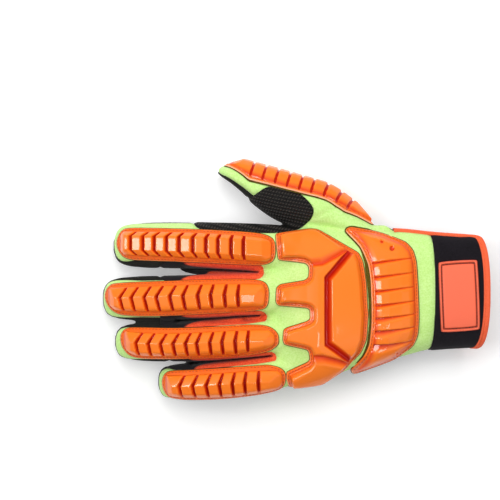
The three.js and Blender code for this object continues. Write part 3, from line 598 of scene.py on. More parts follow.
def finish(name, roughness=0.6, sheen=0.0, coat=0.0, specular=0.5):
    """A material with a Principled shader; returns it, its tree, the shader and mm coordinates."""
    material = bpy.data.materials.new(name)
    material.use_nodes = True
    tree = material.node_tree
    shader = tree.nodes["Principled BSDF"]
    shader.inputs["Roughness"].default_value = roughness
    shader.inputs["Sheen Weight"].default_value = sheen
    shader.inputs["Coat Weight"].default_value = coat
    shader.inputs["Specular IOR Level"].default_value = specular
    place = add(tree, "TexCoord").outputs["Object"]
    in_mm = add(tree, "VectorMath", {0: place}, operation="SCALE", Scale=1000.0)
    return material, tree, shader, in_mm.outputs["Vector"]


def noise(tree, at, size_mm, detail=3.0, roughness=0.55):
    """Soft grain: noise whose features are about size_mm wide."""
    node = add(tree, "TexNoise", {"Vector": at}, Scale=1.0 / size_mm, Detail=detail)
    node.inputs["Roughness"].default_value = roughness
    return node.outputs["Fac"]


def blend(tree, factor, first, second):
    """Colour between two, each of them a colour or another node's output."""
    node = add(tree, "Mix", {"Factor": factor}, data_type="RGBA")
    for key, source in (("A", first), ("B", second)):
        if isinstance(source, tuple):
            node.inputs[key].default_value = source
        else:
            tree.links.new(source, node.inputs[key])
    return node.outputs["Result"]


def ramp(tree, value, low, high, first, second):
    """Colour that runs from the first to the second while value runs from low to high."""
    share = add(tree, "MapRange", {"Value": value}, From_Min=low, From_Max=high)
    return blend(tree, share.outputs["Result"], first, second)


def bump(tree, shader, height, depth_mm, strength=1.0):
    """Relief of the given depth in mm on a shader."""
    node = add(tree, "Bump", {"Height": height}, Strength=strength, Distance=depth_mm * MM)
    tree.links.new(node.outputs["Normal"], shader.inputs["Normal"])
    return node


def calculate(tree, operation, *sources):
    """One Math node on its sources; a number may stand for any of them."""
    node = add(tree, "Math", operation=operation)
    for socket, source in zip(node.inputs, sources):
        if isinstance(source, (int, float)):
            socket.default_value = source
        else:
            tree.links.new(source, socket)
    return node.outputs[0]


def distance_along(tree, at, direction):
    """Dot product of the place with a direction."""
    node = add(tree, "VectorMath", {0: at}, operation="DOT_PRODUCT")
    node.inputs[1].default_value = direction
    return node.outputs["Value"]


def stripes(tree, at, direction, pitch_mm):
    """Ridges across a direction, pitch_mm apart: (1 + sin(2 pi distance / pitch)) / 2."""
    turn = 2 * math.pi / pitch_mm
    angle = calculate(tree, "MULTIPLY", distance_along(tree, at, direction), turn)
    return calculate(tree, "MULTIPLY_ADD", calculate(tree, "SINE", angle), 0.5, 0.5)


def painted_light_of(tree):
    """The painted light that a piece's points carry as their depth: 0 on top, up to 1 for painted
    shade in a groove, -1 for a painted highlight on an edge.
    """
    return add(tree, "Attribute", attribute_name="depth").outputs["Fac"]


def base_colour(tree, shader, source):
    """Feed a colour into the shader."""
    tree.links.new(source, shader.inputs["Base Color"])


# %% Fabrics
def knit_finish(name, light, dark, sheen=0.25):
    """Spandex knit. Its loops are 0.4 mm wide on a real glove; here 0.9 mm, so that they show."""
    material, tree, shader, at = finish(name, roughness=0.85, sheen=sheen, specular=0.2)
    loops = calculate(
        tree, "MULTIPLY", stripes(tree, at, (1, 0, 0.3), 0.9), stripes(tree, at, (0, 1, 0.3), 0.9)
    )
    patchy = noise(tree, at, 14.0)
    grain = noise(tree, at, 1.1, 2.0, 0.6)
    mixed = calculate(tree, "ADD", calculate(tree, "MULTIPLY", patchy, 0.4), grain)
    base_colour(tree, shader, ramp(tree, mixed, 0.5, 0.9, dark, light))
    height = calculate(tree, "ADD", loops, calculate(tree, "MULTIPLY", grain, 1.4))
    bump(tree, shader, height, 0.2, 0.45)
    return material


def nap_finish(name, light, dark, size_mm=0.7, depth_mm=0.12, sheen=0.05):
    """Brushed suede or foam-backed neoprene: a short, even nap. Drawn at about twice its size."""
    material, tree, shader, at = finish(name, roughness=0.92, sheen=sheen, specular=0.15)
    grain = noise(tree, at, size_mm, 4.0, 0.65)
    patchy = noise(tree, at, 22.0, 2.0)
    mixed = calculate(tree, "ADD", calculate(tree, "MULTIPLY", patchy, 0.5), grain)
    base_colour(tree, shader, ramp(tree, mixed, 0.5, 1.0, dark, light))
    bump(tree, shader, grain, depth_mm, 0.6)
    return material


def mesh_finish():
    """Ribbed spacer mesh: rows of loops 2.3 mm apart, with a loop every 1.9 mm. Its colour follows
    the relief: painted shade, near black, in the hollows and a painted sheen, grey, on the loops.
    """
    material, tree, shader, at = finish("ribbed_black_mesh", roughness=0.75, specular=0.3)
    row = stripes(tree, at, (0.16, 0.96, 0.2), 2.3)
    loop = stripes(tree, at, (0.86, -0.45, 0.2), 1.9)
    knot = calculate(tree, "MULTIPLY", calculate(tree, "MULTIPLY", loop, row), 1.9)
    height = calculate(tree, "ADD", calculate(tree, "MULTIPLY", row, 0.35), knot)
    fine = calculate(tree, "ADD", height, calculate(tree, "MULTIPLY", noise(tree, at, 0.9), 0.8))
    base_colour(tree, shader, ramp(tree, fine, 0.5, 2.6, colour("#070606"), colour("#48433F")))
    bump(tree, shader, fine, 0.7, 1.0)
    return material


def grip_finish():
    """Grip patch: dark grey suede with fine lighter specks of printed silicone, 0.9 mm apart."""
    material, tree, shader, at = finish("printed_grip_suede", roughness=0.8, specular=0.25)
    cells = add(tree, "TexVoronoi", {"Vector": at}, Scale=1 / 0.9, feature="F1")
    apart = cells.outputs["Distance"]
    base_colour(tree, shader, ramp(tree, apart, 0.1, 0.7, colour("#6A6974"), colour("#2F2E35")))
    bump(tree, shader, apart, 0.25, 0.4).invert = True
    return material


def fourchette_finish():
    """The strips between fingers: red-orange knit near the web, black towards the fingertips, and
    painted shade, near black, along each slit where the depth attribute rises.
    """
    material, tree, shader, at = finish("fourchette_knit", roughness=0.85, sheen=0.1, specular=0.2)
    slant = distance_along(tree, at, (1.0, 0.0, 1.6))
    grain = noise(tree, at, 0.9, 2.0)
    red = ramp(tree, grain, 0.35, 0.7, colour("#DE3F1C"), colour("#FB6A3F"))
    strip = ramp(tree, slant, -61.0, -58.0, colour("#17161A"), red)
    # Painted shade: near black along each slit, where the depth attribute rises.
    base_colour(tree, shader, blend(tree, painted_light_of(tree), strip, colour("#120D0D")))
    bump(tree, shader, grain, 0.12, 0.5)
    return material


# %% Rubber, tape and thread
def moulded_finish():
    """Injection-moulded rubber: satin orange, deeper and redder where the depth attribute rises,
    painted shade for the light that bounces inside the grooves, and pale below zero, a painted
    highlight on the thin rim."""
    material, tree, shader, at = finish(
        "moulded_orange_rubber", roughness=0.36, coat=0.5, specular=0.2
    )
    shader.inputs["Coat Roughness"].default_value = 0.06
    depth = painted_light_of(tree)
    # Painted shade: the orange deepens to red as depth rises; painted highlight: pale pink where
    # depth falls below zero.
    flange = ramp(tree, depth, 0.0, 0.45, colour("#FC7D1C"), colour("#E4470F"))
    deep = ramp(tree, depth, 0.45, 1.0, colour("#E4470F"), colour("#BC1604"))
    inner = blend(tree, calculate(tree, "GREATER_THAN", depth, 0.45), flange, deep)
    base_colour(tree, shader, ramp(tree, depth, 0.0, -1.0, inner, colour("#FFBE9C")))
    bump(tree, shader, noise(tree, at, 1.4, 2.0), 0.03, 0.5)
    return material


def label_finish():
    """Soft rubber label: salmon orange and matt, with a slight orange-peel. Where depth rises it
    darkens to brown-red: painted shade in the stitch groove and along the edge.
    """
    material, tree, shader, at = finish("soft_rubber_label", roughness=0.55, specular=0.35)
    label_painted_shade_colours = colour("#F96F4E"), colour("#8E2A18")
    base_colour(tree, shader, ramp(tree, painted_light_of(tree), 0.0, 1.0, *label_painted_shade_colours))
    bump(tree, shader, noise(tree, at, 0.9, 2.0), 0.05, 0.5)
    return material


def tape_finish():
    """Woven binding tape, red-orange, with ribs 0.8 mm apart across it."""
    material, tree, shader, at = finish("woven_binding_tape", roughness=0.75, specular=0.25)
    rib = stripes(tree, at, (0.6, 0.7, 0.4), 0.8)
    grain = calculate(tree, "ADD", noise(tree, at, 0.8), calculate(tree, "MULTIPLY", rib, 0.4))
    base_colour(tree, shader, ramp(tree, grain, 0.4, 1.0, colour("#E2502C"), colour("#FB7146")))
    bump(tree, shader, grain, 0.12, 0.6)
    return material


def thread_finish(name, code):
    """Sewing thread: one colour, twisted every 0.5 mm."""
    material, tree, shader, at = finish(name, roughness=0.6)
    hue = colour(code)
    base_colour(tree, shader, ramp(tree, noise(tree, at, 0.5), 0.3, 0.7, hue, hue))
    twist = stripes(tree, at, (0.7, 0.7, 0), 0.5)
    bump(tree, shader, twist, 0.06, 0.5)
    return material


FINISHES = {
    "spandex": knit_finish("neon_spandex_knit", colour("#CFF39B"), colour("#B9E67C")),
    "suede": nap_finish("black_synthetic_suede", colour("#2A2A25"), colour("#12120F")),
    "neoprene": nap_finish("black_neoprene", colour("#1D191F"), colour("#100D11"), 1.1, 0.08),
    "wrist_grip": nap_finish("grey_wrist_fabric", colour("#6A6A6E"), colour("#525256"), 0.9),
    "mesh": mesh_finish(),
    "grip": grip_finish(),
    "knit": fourchette_finish(),
    "tape": tape_finish(),
    "moulded": moulded_finish(),
    "label": label_finish(),
    # Painted shadow: a dark olive nap sheet round the guards stands for the shade under their
    # lifted rims.
    "painted_shadow": nap_finish("olive_backing_felt", colour("#6E5E16"), colour("#33290C"), 0.9),
    "dark_thread": thread_finish("black_thread", "#1C1A1C"),
    "orange_thread": thread_finish("orange_thread", "#B93F10"),
}
print("finishes:", len(FINISHES))


# %% Dressing a piece
def dress(name, points, faces, look, slot=None, node=None, depth=None):
    """Make a piece from arrays in mm, give it a finish, and let it ride and stand for its node."""
    mesh = mesh_from(name, points, faces)
    # depth is stored as the 'depth' attribute: painted shade above zero, painted highlight below
    # it.
    if depth is not None:
        mesh.attributes.new("depth", "FLOAT", "POINT").data.foreach_set("value", depth)
    mesh.materials.append(FINISHES[look])
    piece = show(mesh)
    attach(piece, "root")
    if node:
        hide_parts(node)
    return piece


# %% [markdown]
# ## Sewing the panels
#
# A sewn edge is pulled in by its thread, so every panel dips close to its outline. That dip is the
# whole look of a seam. The panel then gets the fabric's thickness on its inner side.


# %% Panels
def boundary(tri):
    """Directed edges that belong to one triangle only."""
    edges = np.concatenate((tri[:, :2], tri[:, 1:], tri[:, [2, 0]]))
    key = np.sort(edges, 1)
    _, first, count = np.unique(key, axis=0, return_index=True, return_counts=True)
    return edges[first[count == 1]]


def distance_to(points, targets, block=2000):
    """Distance of each point to the nearest target, worked out block by block."""
    near = [
        np.sqrt(((points[i : i + block, None] - targets[None]) ** 2).sum(2).min(1))
        for i in range(0, len(points), block)
    ]
    return np.concatenate(near)


def sheet_faces(tri, count):
    """Faces of a closed sheet: the outer ones, the inner ones count points later, and a rim."""
    a, b = boundary(tri).T
    rim = (np.stack((b, a, a + count), 1), np.stack((b, a + count, b + count), 1))
    return np.concatenate((tri, tri[:, ::-1] + count, *rim))


def thickened(points, tri, normals, thickness):
    """Closed sheet: the outer face, an inner face thickness below it, and a rim."""
    both = np.concatenate((points, points - thickness * normals))
    return both, sheet_faces(tri, len(points))


def rested(points, floor):
    """Press what would go through the floor flat: heights under floor are set to it."""
    points = points.copy()
    points[:, 2] = np.maximum(points[:, 2], floor)
    return points


def sewn(data, tri, tuck=0.9, reach=1.5, lift=0.0, thickness=1.2, floor=0.9):
    """Panel with its edge pulled in by tuck * exp(-(distance / reach)^2) along its normals."""
    points, normals = data[:, :3], data[:, 3:6]
    normals = normals / np.linalg.norm(normals, axis=1)[:, None]
    edge = points[np.unique(boundary(tri))]
    near = distance_to(points, edge)
    shift = lift - tuck * np.exp(-((near / reach) ** 2))
    outer = rested(points + shift[:, None] * normals, floor)
    return thickened(outer, tri, normals, thickness)


PANEL_LOOKS = {  # node, finish and material slot, tuck of the seam and lift in mm
    "back": ("back_panel", "spandex", 0.9, 0.0),
    "palm": ("palm_panel", "suede", 0.9, 0.0),
    "wrist": ("wrist_panel", "wrist_grip", 0.9, 0.0),
    "gusset": ("thumb_mesh", "mesh", 0.8, 0.5),
    "cuff": ("cuff", "neoprene", 0.7, 0.5),
    **{name: ("fourchette_" + name, "knit", 0.8, 0.0) for name in SLOTS},
}
for field, (node, look, tuck, lift) in PANEL_LOOKS.items():
    points, tri = sewn(*panels[field], tuck=tuck, lift=lift)
    depth = None
    # On a fourchette, depth is painted shade along the slit where the fingers meet.
    if field in SLOTS:
        depth = np.tile(in_slit(panels[field][0][:, :3], SLITS[list(SLOTS).index(field)]), 2)
    dress(node, points, tri, look, look, node, depth)
print("panels dressed:", len(PANEL_LOOKS))

# %% [markdown]
# ## A map of the skin's height
#
# The moulded guards follow the hand under them. A mould maker would build them on a surface of the
# hand, so the skin is turned into a smooth height map, seen from the side that the guard sits on:
# from above for the back of the hand, from below for the palm patches, from +Y for the thumb.


# %% Height maps
def turned(points, roll):
    """Points in a frame rolled about X: (x, across, up)."""
    c, s = math.cos(math.radians(roll)), math.sin(math.radians(roll))
    y, z = points[:, 1], points[:, 2]
    return np.column_stack((points[:, 0], y * c - z * s, y * s + z * c))


def turned_back(points, roll):
    """Points of a rolled frame, back in the glove's own."""
    return turned(points, -roll)


def height_map(roll=0.0, wanted=None, cell=1.0, reach=3, spread=1.3):
    """Grid of skin heights in a rolled frame. Each skin point lays its tangent plane on the cells
    round it, weighted by exp(-distance^2 / (2 spread^2)); the cell takes the weighted mean."""
    points, normals = turned(skin_points, roll), turned(skin_normals, roll)
    use = normals[:, 2] > 0.2
    if wanted is not None:
        use &= wanted
    points, normals = points[use], normals[use]
    low = points[:, :2].min(0) - 12
    size = np.ceil((points[:, :2].max(0) + 12 - low) / cell).astype(int)
    total, weight = np.zeros(size.prod()), np.full(size.prod(), 1e-9)
    home = np.round((points[:, :2] - low) / cell).astype(int)
    slope = -normals[:, :2] / np.maximum(normals[:, 2:], 0.35)
    for i in range(-reach, reach + 1):
        for j in range(-reach, reach + 1):
            at = home + (i, j)
            away = at * cell + low - points[:, :2]
            share = np.exp(-(away**2).sum(1) / (2 * spread**2)) * normals[:, 2]
            flat = at[:, 0] * size[1] + at[:, 1]
            height = points[:, 2] + (away * slope).sum(1)
            total += np.bincount(flat, share * height, len(total))
            weight += np.bincount(flat, share, len(weight))
    known = (weight > 1e-3).reshape(size)
    heights = (total / weight).reshape(size)
    heights[~known] = np.nan
    for _ in range(14):
        ring = np.stack([np.roll(heights, s, a) for a in (0, 1) for s in (-1, 1)])
        count = (~np.isnan(ring)).sum(0)
        mean = np.where(count > 0, np.nansum(ring, 0) / np.maximum(count, 1), np.nan)
        heights = np.where(np.isnan(heights), mean - 0.6, heights)
    heights = np.nan_to_num(heights, nan=np.nanmin(heights))
    return {"low": low, "cell": cell, "grid": heights, "roll": roll}


def sample(grid, place):
    """Bilinear value of a grid at fractional cell coordinates."""
    place = np.clip(place, 0, np.array(grid.shape) - 1.001)
    i, j = place.astype(int).T
    u, v = (place - place.astype(int)).T
    return (
        grid[i, j] * (1 - u) * (1 - v)
        + grid[i + 1, j] * u * (1 - v)
        + grid[i, j + 1] * (1 - u) * v
        + grid[i + 1, j + 1] * u * v
    )


def lifted(surface, plan_points, height):
    """Points that stand height above a height map, along the map's own smoothed normal."""
    grid, cell = surface["grid"], surface["cell"]
    place = (plan_points - surface["low"]) / cell
    base = sample(grid, place)
    reach = 2.0
    slope = [
        (sample(grid, place + step) - sample(grid, place - step)) / (2 * reach * cell)
        for step in (np.array((reach, 0)), np.array((0, reach)))
    ]
    normal = np.column_stack((-slope[0], -slope[1], np.ones(len(base))))
    normal /= np.linalg.norm(normal, axis=1)[:, None]
    points = np.column_stack((plan_points, base)) + np.asarray(height)[..., None] * normal
    return turned_back(points, surface["roll"])


def blurred(surface, rounds):
    """The same map, averaged with its neighbours several times: stiff rubber spans small dips."""
    grid = surface["grid"].copy()
    for _ in range(rounds):
        ring = sum(np.roll(grid, s, a) for a in (0, 1) for s in (-1, 1)) / 4
        grid[1:-1, 1:-1] = (0.5 * grid + 0.5 * ring)[1:-1, 1:-1]
    return {**surface, "grid": grid}


top_map = height_map()
sole_map = height_map(180.0)
thumb_only = (tube_frame(THUMB, skin_points)[0] < 1.15) & (
    skin_points[:, 1] > smooth_table(THUMB, skin_points[:, 0])["y"] - 1
)
THUMB_GUARD_ROLL = 74.0
thumb_map = height_map(THUMB_GUARD_ROLL, thumb_only)
rubber_map, label_map = blurred(top_map, 6), blurred(top_map, 10)
GUARD_MAPS = {
    "thumb": blurred(thumb_map, 6),
    "knuckle": blurred(top_map, 40),
    "wrist": blurred(top_map, 25),
}
print("height maps:", top_map["grid"].shape, sole_map["grid"].shape, thumb_map["grid"].shape)

# %% [markdown]
# ## Moulded guards
#
# A guard is flat work first: a triangle grid in the plan, cut exactly along its outline and along
# every line where its relief changes. Then each point gets a height and is set on the hand. A
# little smoothing rounds all edges, as a mould does.


# %% Flat work
SMOOTHING_ROUNDS = 2


def flat_grid(outline, step):
    """Triangles over the outline's box, their diagonals alternating."""
    low, high = outline.min(0) - step, outline.max(0) + step
    nx, ny = np.ceil((high - low) / step).astype(int) + 1
    x, y = np.meshgrid(low[0] + step * np.arange(nx), low[1] + step * np.arange(ny), indexing="ij")
    i, j = np.meshgrid(np.arange(nx - 1), np.arange(ny - 1), indexing="ij")
    a, b, c, d = i * ny + j, (i + 1) * ny + j, (i + 1) * ny + j + 1, i * ny + j + 1
    even = ((i + j) % 2 == 0)[..., None]
    one = np.where(even, np.stack((a, b, c), -1), np.stack((a, b, d), -1))
    two = np.where(even, np.stack((a, c, d), -1), np.stack((b, c, d), -1))
    return np.column_stack((x.ravel(), y.ravel())), np.concatenate((one, two)).reshape(-1, 3)


def cut_at(points, tri, field, level):
    """Split triangles along field = level; field is a function of plan points."""
    data = np.column_stack((points, field(points) - level))
    data, tri = cut(data, tri, 2)
    return data[:, :2], tri


def flat_work(outline, step, kinks):
    """Grid inside the outline, split along all (field, levels) where the relief has a kink."""
    points, tri = flat_grid(outline, step)
    rim = inside(points, outline)
    near = rim[tri].max(1) > -0.01
    used, tri = np.unique(tri[near], return_inverse=True)
    points, tri = points[used], tri.reshape(-1, 3)
    data = np.column_stack((points, inside(points, outline)))
    data, tri = cut(data, tri, 2)
    data, tri = keep(data, tri, data[tri, 2].mean(1) > 0)
    points = data[:, :2]
    for field, levels in kinks:
        for level in levels:
            points, tri = cut_at(points, tri, field, level)
    return points, tri


def raised(name, outline, surface, relief, kinks, look="moulded", node=True, step=0.6, sunk=-0.9):
    """A closed piece: its top from relief(points) -> (height, depth), its underside sunk. Where
    node is true, it stands for the node of its own name."""
    points, tri = flat_work(outline, step, kinks)
    height, depth = relief(points)
    top = lifted(surface, points, height)
    rim = np.unique(boundary(tri))
    for _ in range(SMOOTHING_ROUNDS):
        smooth = relaxed(top, tri, 1, 0.35)
        smooth[rim] = top[rim]
        top = smooth
    under = lifted(surface, points, sunk + (0.3 - sunk) * np.exp(-inside(points, outline) / 0.8))
    count = len(points)
    # The underside carries depth 1: painted shade, so each rim's wall darkens towards the fabric.
    depth = np.concatenate((depth, np.full(count, 1.0)))
    slot, stands_for = (look, name) if node else (None, None)
    both = np.concatenate((top, under))
    return dress(name, both, sheet_faces(tri, count), look, slot, stands_for, depth)


def rise(distance, start, end, low, high):
    """Straight ramp from low to high while distance goes from start to end."""
    return low + (high - low) * np.clip((distance - start) / (end - start), 0, 1)


# Width of the painted highlight along a guard's rim.
LIT_RIM_WIDTH = 0.7


def painted_rim_light(p, outline, rim, depth):
    """Painted highlight: depth falls to -1 on the outermost 0.7 mm, but not on edges that face the
    thumb's side, which get painted shade of 0.2 instead.
    """
    near = rim < LIT_RIM_WIDTH
    q, ahead = p[near], np.array([0, 0.3])
    uphill = (inside(q + ahead, outline) - inside(q - ahead, outline)) / 0.6
    lit_share = np.clip(0.6 + 1.2 * uphill, 0, 1) * (1 - rim[near] / LIT_RIM_WIDTH)
    depth = depth.copy()
    depth[near] = np.where(lit_share > 0, -lit_share, 0.2)
    return depth


FLANGE = 1.4
RIM_ROUND = 0.5


def rounded_rim(height, rim):
    """On the outermost half millimetre the height is at most 0.7 + 1.4 * rim."""
    return np.where(rim < RIM_ROUND, np.minimum(height, 0.7 + 1.4 * rim), height)


def foot_shade(block):
    """Depth of the flange and of the wall's foot, which lie in the block's own shade: a tent."""
    tent = 0.5 * np.clip(1 - np.abs(block - FLANGE - 1.0) / 1.3, 0, 1)
    return np.maximum(0.2 * rise(block, FLANGE, FLANGE + 0.8, 1, 0), tent)


# flange on the thumb side, far chamfer, near chamfer, flange on the little finger's side, tip slope
RIBBED = {
    "index": dict(
        outline=[
            (116.2, 243), (118, 236.5), (121.5, 231), (127, 228.3), (163.8, 229), (195.7, 229.8),
            (243.5, 232.2), (259.5, 233.8), (268, 236),
            (273.8, 239.9), (275.4, 247.8), (274.6, 259),
            (269, 263), (259.5, 264.6), (227.6, 263), (195.7, 261.4), (147.8, 260.3), (125.5, 259),
            (118.3, 251),
        ],
        across=(2.6, 3.4, 3.8, 3.2), tip=5.0, end=7.0, tilt=0.0, sweep=(1.0, 1.0, 0.0),
        grooves=[133.5, 145.5, 156.6, 168.6, 180.5, 194.0, 206.9, 218.8, 231.6, 243.5],
    ),
    "middle": dict(
        outline=[
            (104.4, 297), (106, 290.3), (109.6, 286),
            (114.4, 283.7), (163.8, 281.6), (235.6, 279.4),
            (259.5, 280.2), (266.5, 283.5), (268.7, 290), (268.7, 297), (267.5, 305.3), (262, 309),
            (235.6, 311), (195.7, 313.2), (163.8, 315.4),
            (123.9, 315.3), (113.6, 312), (107.4, 305.4),
        ],
        across=(3.2, 6.4, 1.2, 3.2), tip=6.5, end=7.5, tilt=-0.12, sweep=(0.62, 0.26, 7.0),
        grooves=[123.0, 134.3, 147.0, 159.0, 171.8, 184.5, 198.9, 211.6, 225.2, 238.0],
    ),
    "ring": dict(
        outline=[
            (120.2, 338), (122, 332.5), (126, 329.4), (131.9, 328), (179.7, 328.9), (227.6, 326.5),
            (253, 325), (269, 326), (277.8, 332.4), (278.6, 340.4), (277.8, 344.3), (269, 350.7),
            (243.5, 354.7), (211.6, 357), (163.8, 358.4), (131.9, 358), (122.3, 348.3),
        ],
        across=(3.4, 6.0, 1.2, 2.4), tip=6.5, end=8.0, tilt=-0.12, sweep=(0.62, 0.2, 6.5),
        grooves=[139.0, 151.0, 163.0, 175.0, 187.0, 198.0, 210.8, 222.8, 235.6, 247.5],
    ),
    "little": dict(
        outline=[
            (162, 384), (163.2, 377), (166.6, 373), (172, 371.3), (195.7, 370.4), (227.6, 368),
            (259.5, 365.6), (269, 364.8), (280, 367), (284.5, 371), (285.8, 377), (283.4, 386.6),
            (272.3, 391.4), (243.5, 396.2), (211.6, 399), (171.8, 399.4), (164.5, 393),
        ],
        across=(3.2, 6.2, 1.2, 2.4), tip=6.5, end=9.0, tilt=-0.12, sweep=(0.5, 0.2, 6.5),
        grooves=[182.0, 194.9, 207.7, 220.4, 233.0, 245.0, 258.0],
    ),
}
GROOVE_FOOT, GROOVE_FLOOR, RIB_TOP = 0.45, 1.5, 6.3
TIP_FLANGE, END_FLANGE = 2.4, 2.2
STEEP, STEP_UP = 0.5, 2.0  # breadth in the plan and height of the wall at a block's foot
FLATTEN = 0.0142  # half the curvature of a finger's back, so that rib tops come out flat


def side_lines(outline):
    """Smooth curves of the outline's two long sides: highest and lowest across at each x."""
    x = np.linspace(outline[:, 0].min(), outline[:, 0].max(), 400)
    ahead = np.roll(outline, -1, 0)
    low, high = np.full(len(x), 1e9), np.full(len(x), -1e9)
    for (ax, ay), (bx, by) in zip(outline, ahead):
        if abs(bx - ax) < 1e-9:
            continue
        share = (x - ax) / (bx - ax)
        on = (share >= 0) & (share <= 1)
        y = ay + share * (by - ay)
        low, high = np.where(on, np.minimum(low, y), low), np.where(on, np.maximum(high, y), high)
    good = high > low
    return x[good], low[good], high[good]


def ribbed_relief(
    outline, across, tip, end, tilt, sweep, grooves,
    half=1.5, floor=GROOVE_FLOOR, wall=2.6, fade_to=0.15, shallow=0.0, edge_flange=2.0,
):
    """Relief and kinks of a ribbed guard: a block with two long chamfers, cut by chevrons. across:
    see RIBBED. tip and end: lengths of the end slopes. tilt and sweep: slope across, and how far
    the grooves are drawn back. half: half a groove's width at its brim. shallow: rise of its
    floor."""
    x_line, low_line, high_line = side_lines(outline)
    first, last = x_line[0], x_line[-1]
    inner = (x_line > first + 9) & (x_line < last - 9)
    low_fit = np.polyfit(x_line[inner], low_line[inner], 3)
    high_fit = np.polyfit(x_line[inner], high_line[inner], 3)
    far_flange, far_chamfer, near_chamfer, near_flange = across

    def from_far(p):
        """Distance from the long side towards the thumb."""
        return np.polyval(high_fit, p[:, 0]) - p[:, 1]

    def from_near(p):
        """Distance from the other long side."""
        return p[:, 1] - np.polyval(low_fit, p[:, 0])

    def from_rim(p):
        """Distance from the outline."""
        return inside(p, outline)

    def swept(p):
        """x, pulled back over the chamfers, so that a constant value draws a chevron."""
        far = np.maximum(far_flange + far_chamfer - from_far(p), 0)
        near = np.maximum(near_flange + near_chamfer + sweep[2] - from_near(p), 0)
        fade = rise(p[:, 0], first + 0.4 * (last - first), last - 15, 1.0, fade_to)
        return p[:, 0] - fade * (sweep[0] * far + sweep[1] * near)

    centres = plan([(px, 300) for px in grooves])[:, 0]

    def relief(p):
        """Height: the lowest of all the ramps, less the grooves. Depth: painted shade in the
        grooves and at the walls' feet.
        """
        far, near, rim = from_far(p), from_near(p), from_rim(p)
        left, right = p[:, 0] - first, last - p[:, 0]
        upper = RIB_TOP - FLANGE
        block = np.minimum.reduce(
            [
                rise(far, far_flange, far_flange + STEEP, FLANGE, FLANGE + STEP_UP)
                + rise(far, far_flange + STEEP, far_flange + far_chamfer, 0, upper - STEP_UP),
                rise(near, near_flange, near_flange + STEEP, FLANGE, FLANGE + wall)
                + rise(near, near_flange + STEEP, near_flange + near_chamfer, 0, upper - wall),
                rise(left, TIP_FLANGE, TIP_FLANGE + tip, FLANGE, RIB_TOP),
                rise(right, END_FLANGE, END_FLANGE + STEEP, FLANGE, FLANGE + STEP_UP)
                + rise(right, END_FLANGE + STEEP, END_FLANGE + end, 0, upper - STEP_UP),
                rise(rim, edge_flange, edge_flange + STEEP, FLANGE, FLANGE + 1.6)
                + rise(rim, edge_flange + STEEP, edge_flange + 4.5, 0, 4.6),
            ]
        )
        middle = (far - near) / 2
        level = tilt * middle + FLATTEN * np.minimum(np.abs(middle), 4.2) ** 2
        block = block + level * rise(block, FLANGE, RIB_TOP, 0, 1)
        away = np.abs(swept(p)[:, None] - centres[None]).min(1)
        foot = floor + rise(near, near_flange + 2, near_flange + near_chamfer, 0, shallow)
        groove = foot + rise(away, GROOVE_FOOT, half, 0, RIB_TOP + 1.5 - floor)
        height = np.minimum(block, np.maximum(groove, 0))
        height = rounded_rim(height, rim)
        sunk = np.clip((block - height) / np.maximum(block - foot, 1.2), 0, 1)
        depth = np.maximum(foot_shade(block), rise(sunk, 0.08, 0.8, 0, 1) * (block > FLANGE + 0.3))
        return height, painted_rim_light(p, outline, rim, depth)

    groove_levels = [c + s for c in centres for s in (-half, -GROOVE_FOOT, GROOVE_FOOT, half)]
    end_levels = (last - END_FLANGE, last - END_FLANGE - STEEP, last - END_FLANGE - end)
    kinks = [
        (from_rim, (RIM_ROUND, edge_flange, edge_flange + STEEP)),
        (from_far, (far_flange, far_flange + STEEP, far_flange + far_chamfer)),
        (from_near, (near_flange, near_flange + STEEP, near_flange + near_chamfer)),
        (lambda p: p[:, 0], (first + TIP_FLANGE, first + TIP_FLANGE + tip, *end_levels)),
        (swept, groove_levels),
    ]
    return relief, kinks


guard_outlines = {}
for name, shape in RIBBED.items():
    outline = softened(plan(shape["outline"]), 2)
    guard_outlines[name] = outline
    sizes = {key: value for key, value in shape.items() if key != "outline"}
    raised(name + "_guard", outline, rubber_map, *ribbed_relief(outline, **sizes))
print("finger guards:", list(RIBBED))

# %% [markdown]
# The thumb's guard is the same kind of block, set on the thumb's outer side, so the picture shows
# it in profile. Its outline is drawn in the thumb's own rolled frame.

# %% Thumb guard
THUMB_GUARD_X = (-78.4, 22.6)
THUMB_GUARD_HALF = 9.8
THUMB_GROOVES = [252.7, 264.8, 277.0, 288.9, 301.0, 313.0, 325.6, 337.7, 348.6]


def thumb_centre_line(x):
    """Across coordinate of the thumb's centre in the guard's rolled frame."""
    s = smooth_table(THUMB, x)
    return turned(np.column_stack((s["x"], s["y"], s["z"])), THUMB_GUARD_ROLL)[:, 1]


start_x, end_x = THUMB_GUARD_X
along = np.linspace(0, 1, 60)
half_width = THUMB_GUARD_HALF * np.clip(np.minimum(along / 0.16, (1 - along) / 0.2), 0, 1) ** 0.75
along_x = start_x + along * (end_x - start_x)
centre = thumb_centre_line(along_x)
outline = np.concatenate(
    (
        np.column_stack((along_x, centre + half_width + 0.05)),
        np.column_stack((along_x, centre - half_width - 0.05))[::-1],
    )
)
guard_outlines["thumb"] = outline
thumb_relief, thumb_kinks = ribbed_relief(
    outline, (1.8, 3.4, 8.2, 0.9), 9.0, 12.0, 0.0, (0, -0.2, 0.7), THUMB_GROOVES,
    half=2.1, floor=1.3, wall=0.9, fade_to=1.0, shallow=3.7, edge_flange=0.9,
)
raised("thumb_guard", outline, GUARD_MAPS["thumb"], thumb_relief, thumb_kinks)
print("thumb guard from", THUMB_GUARD_X)

# %% [markdown]
# ## Knuckle and wrist guards
#
# The knuckle guard is one thick moulding with four lobes and a central plate behind a deep V-shaped
# channel. The wrist guard is crossed by seven wedge-shaped grooves. The plate is left bare.

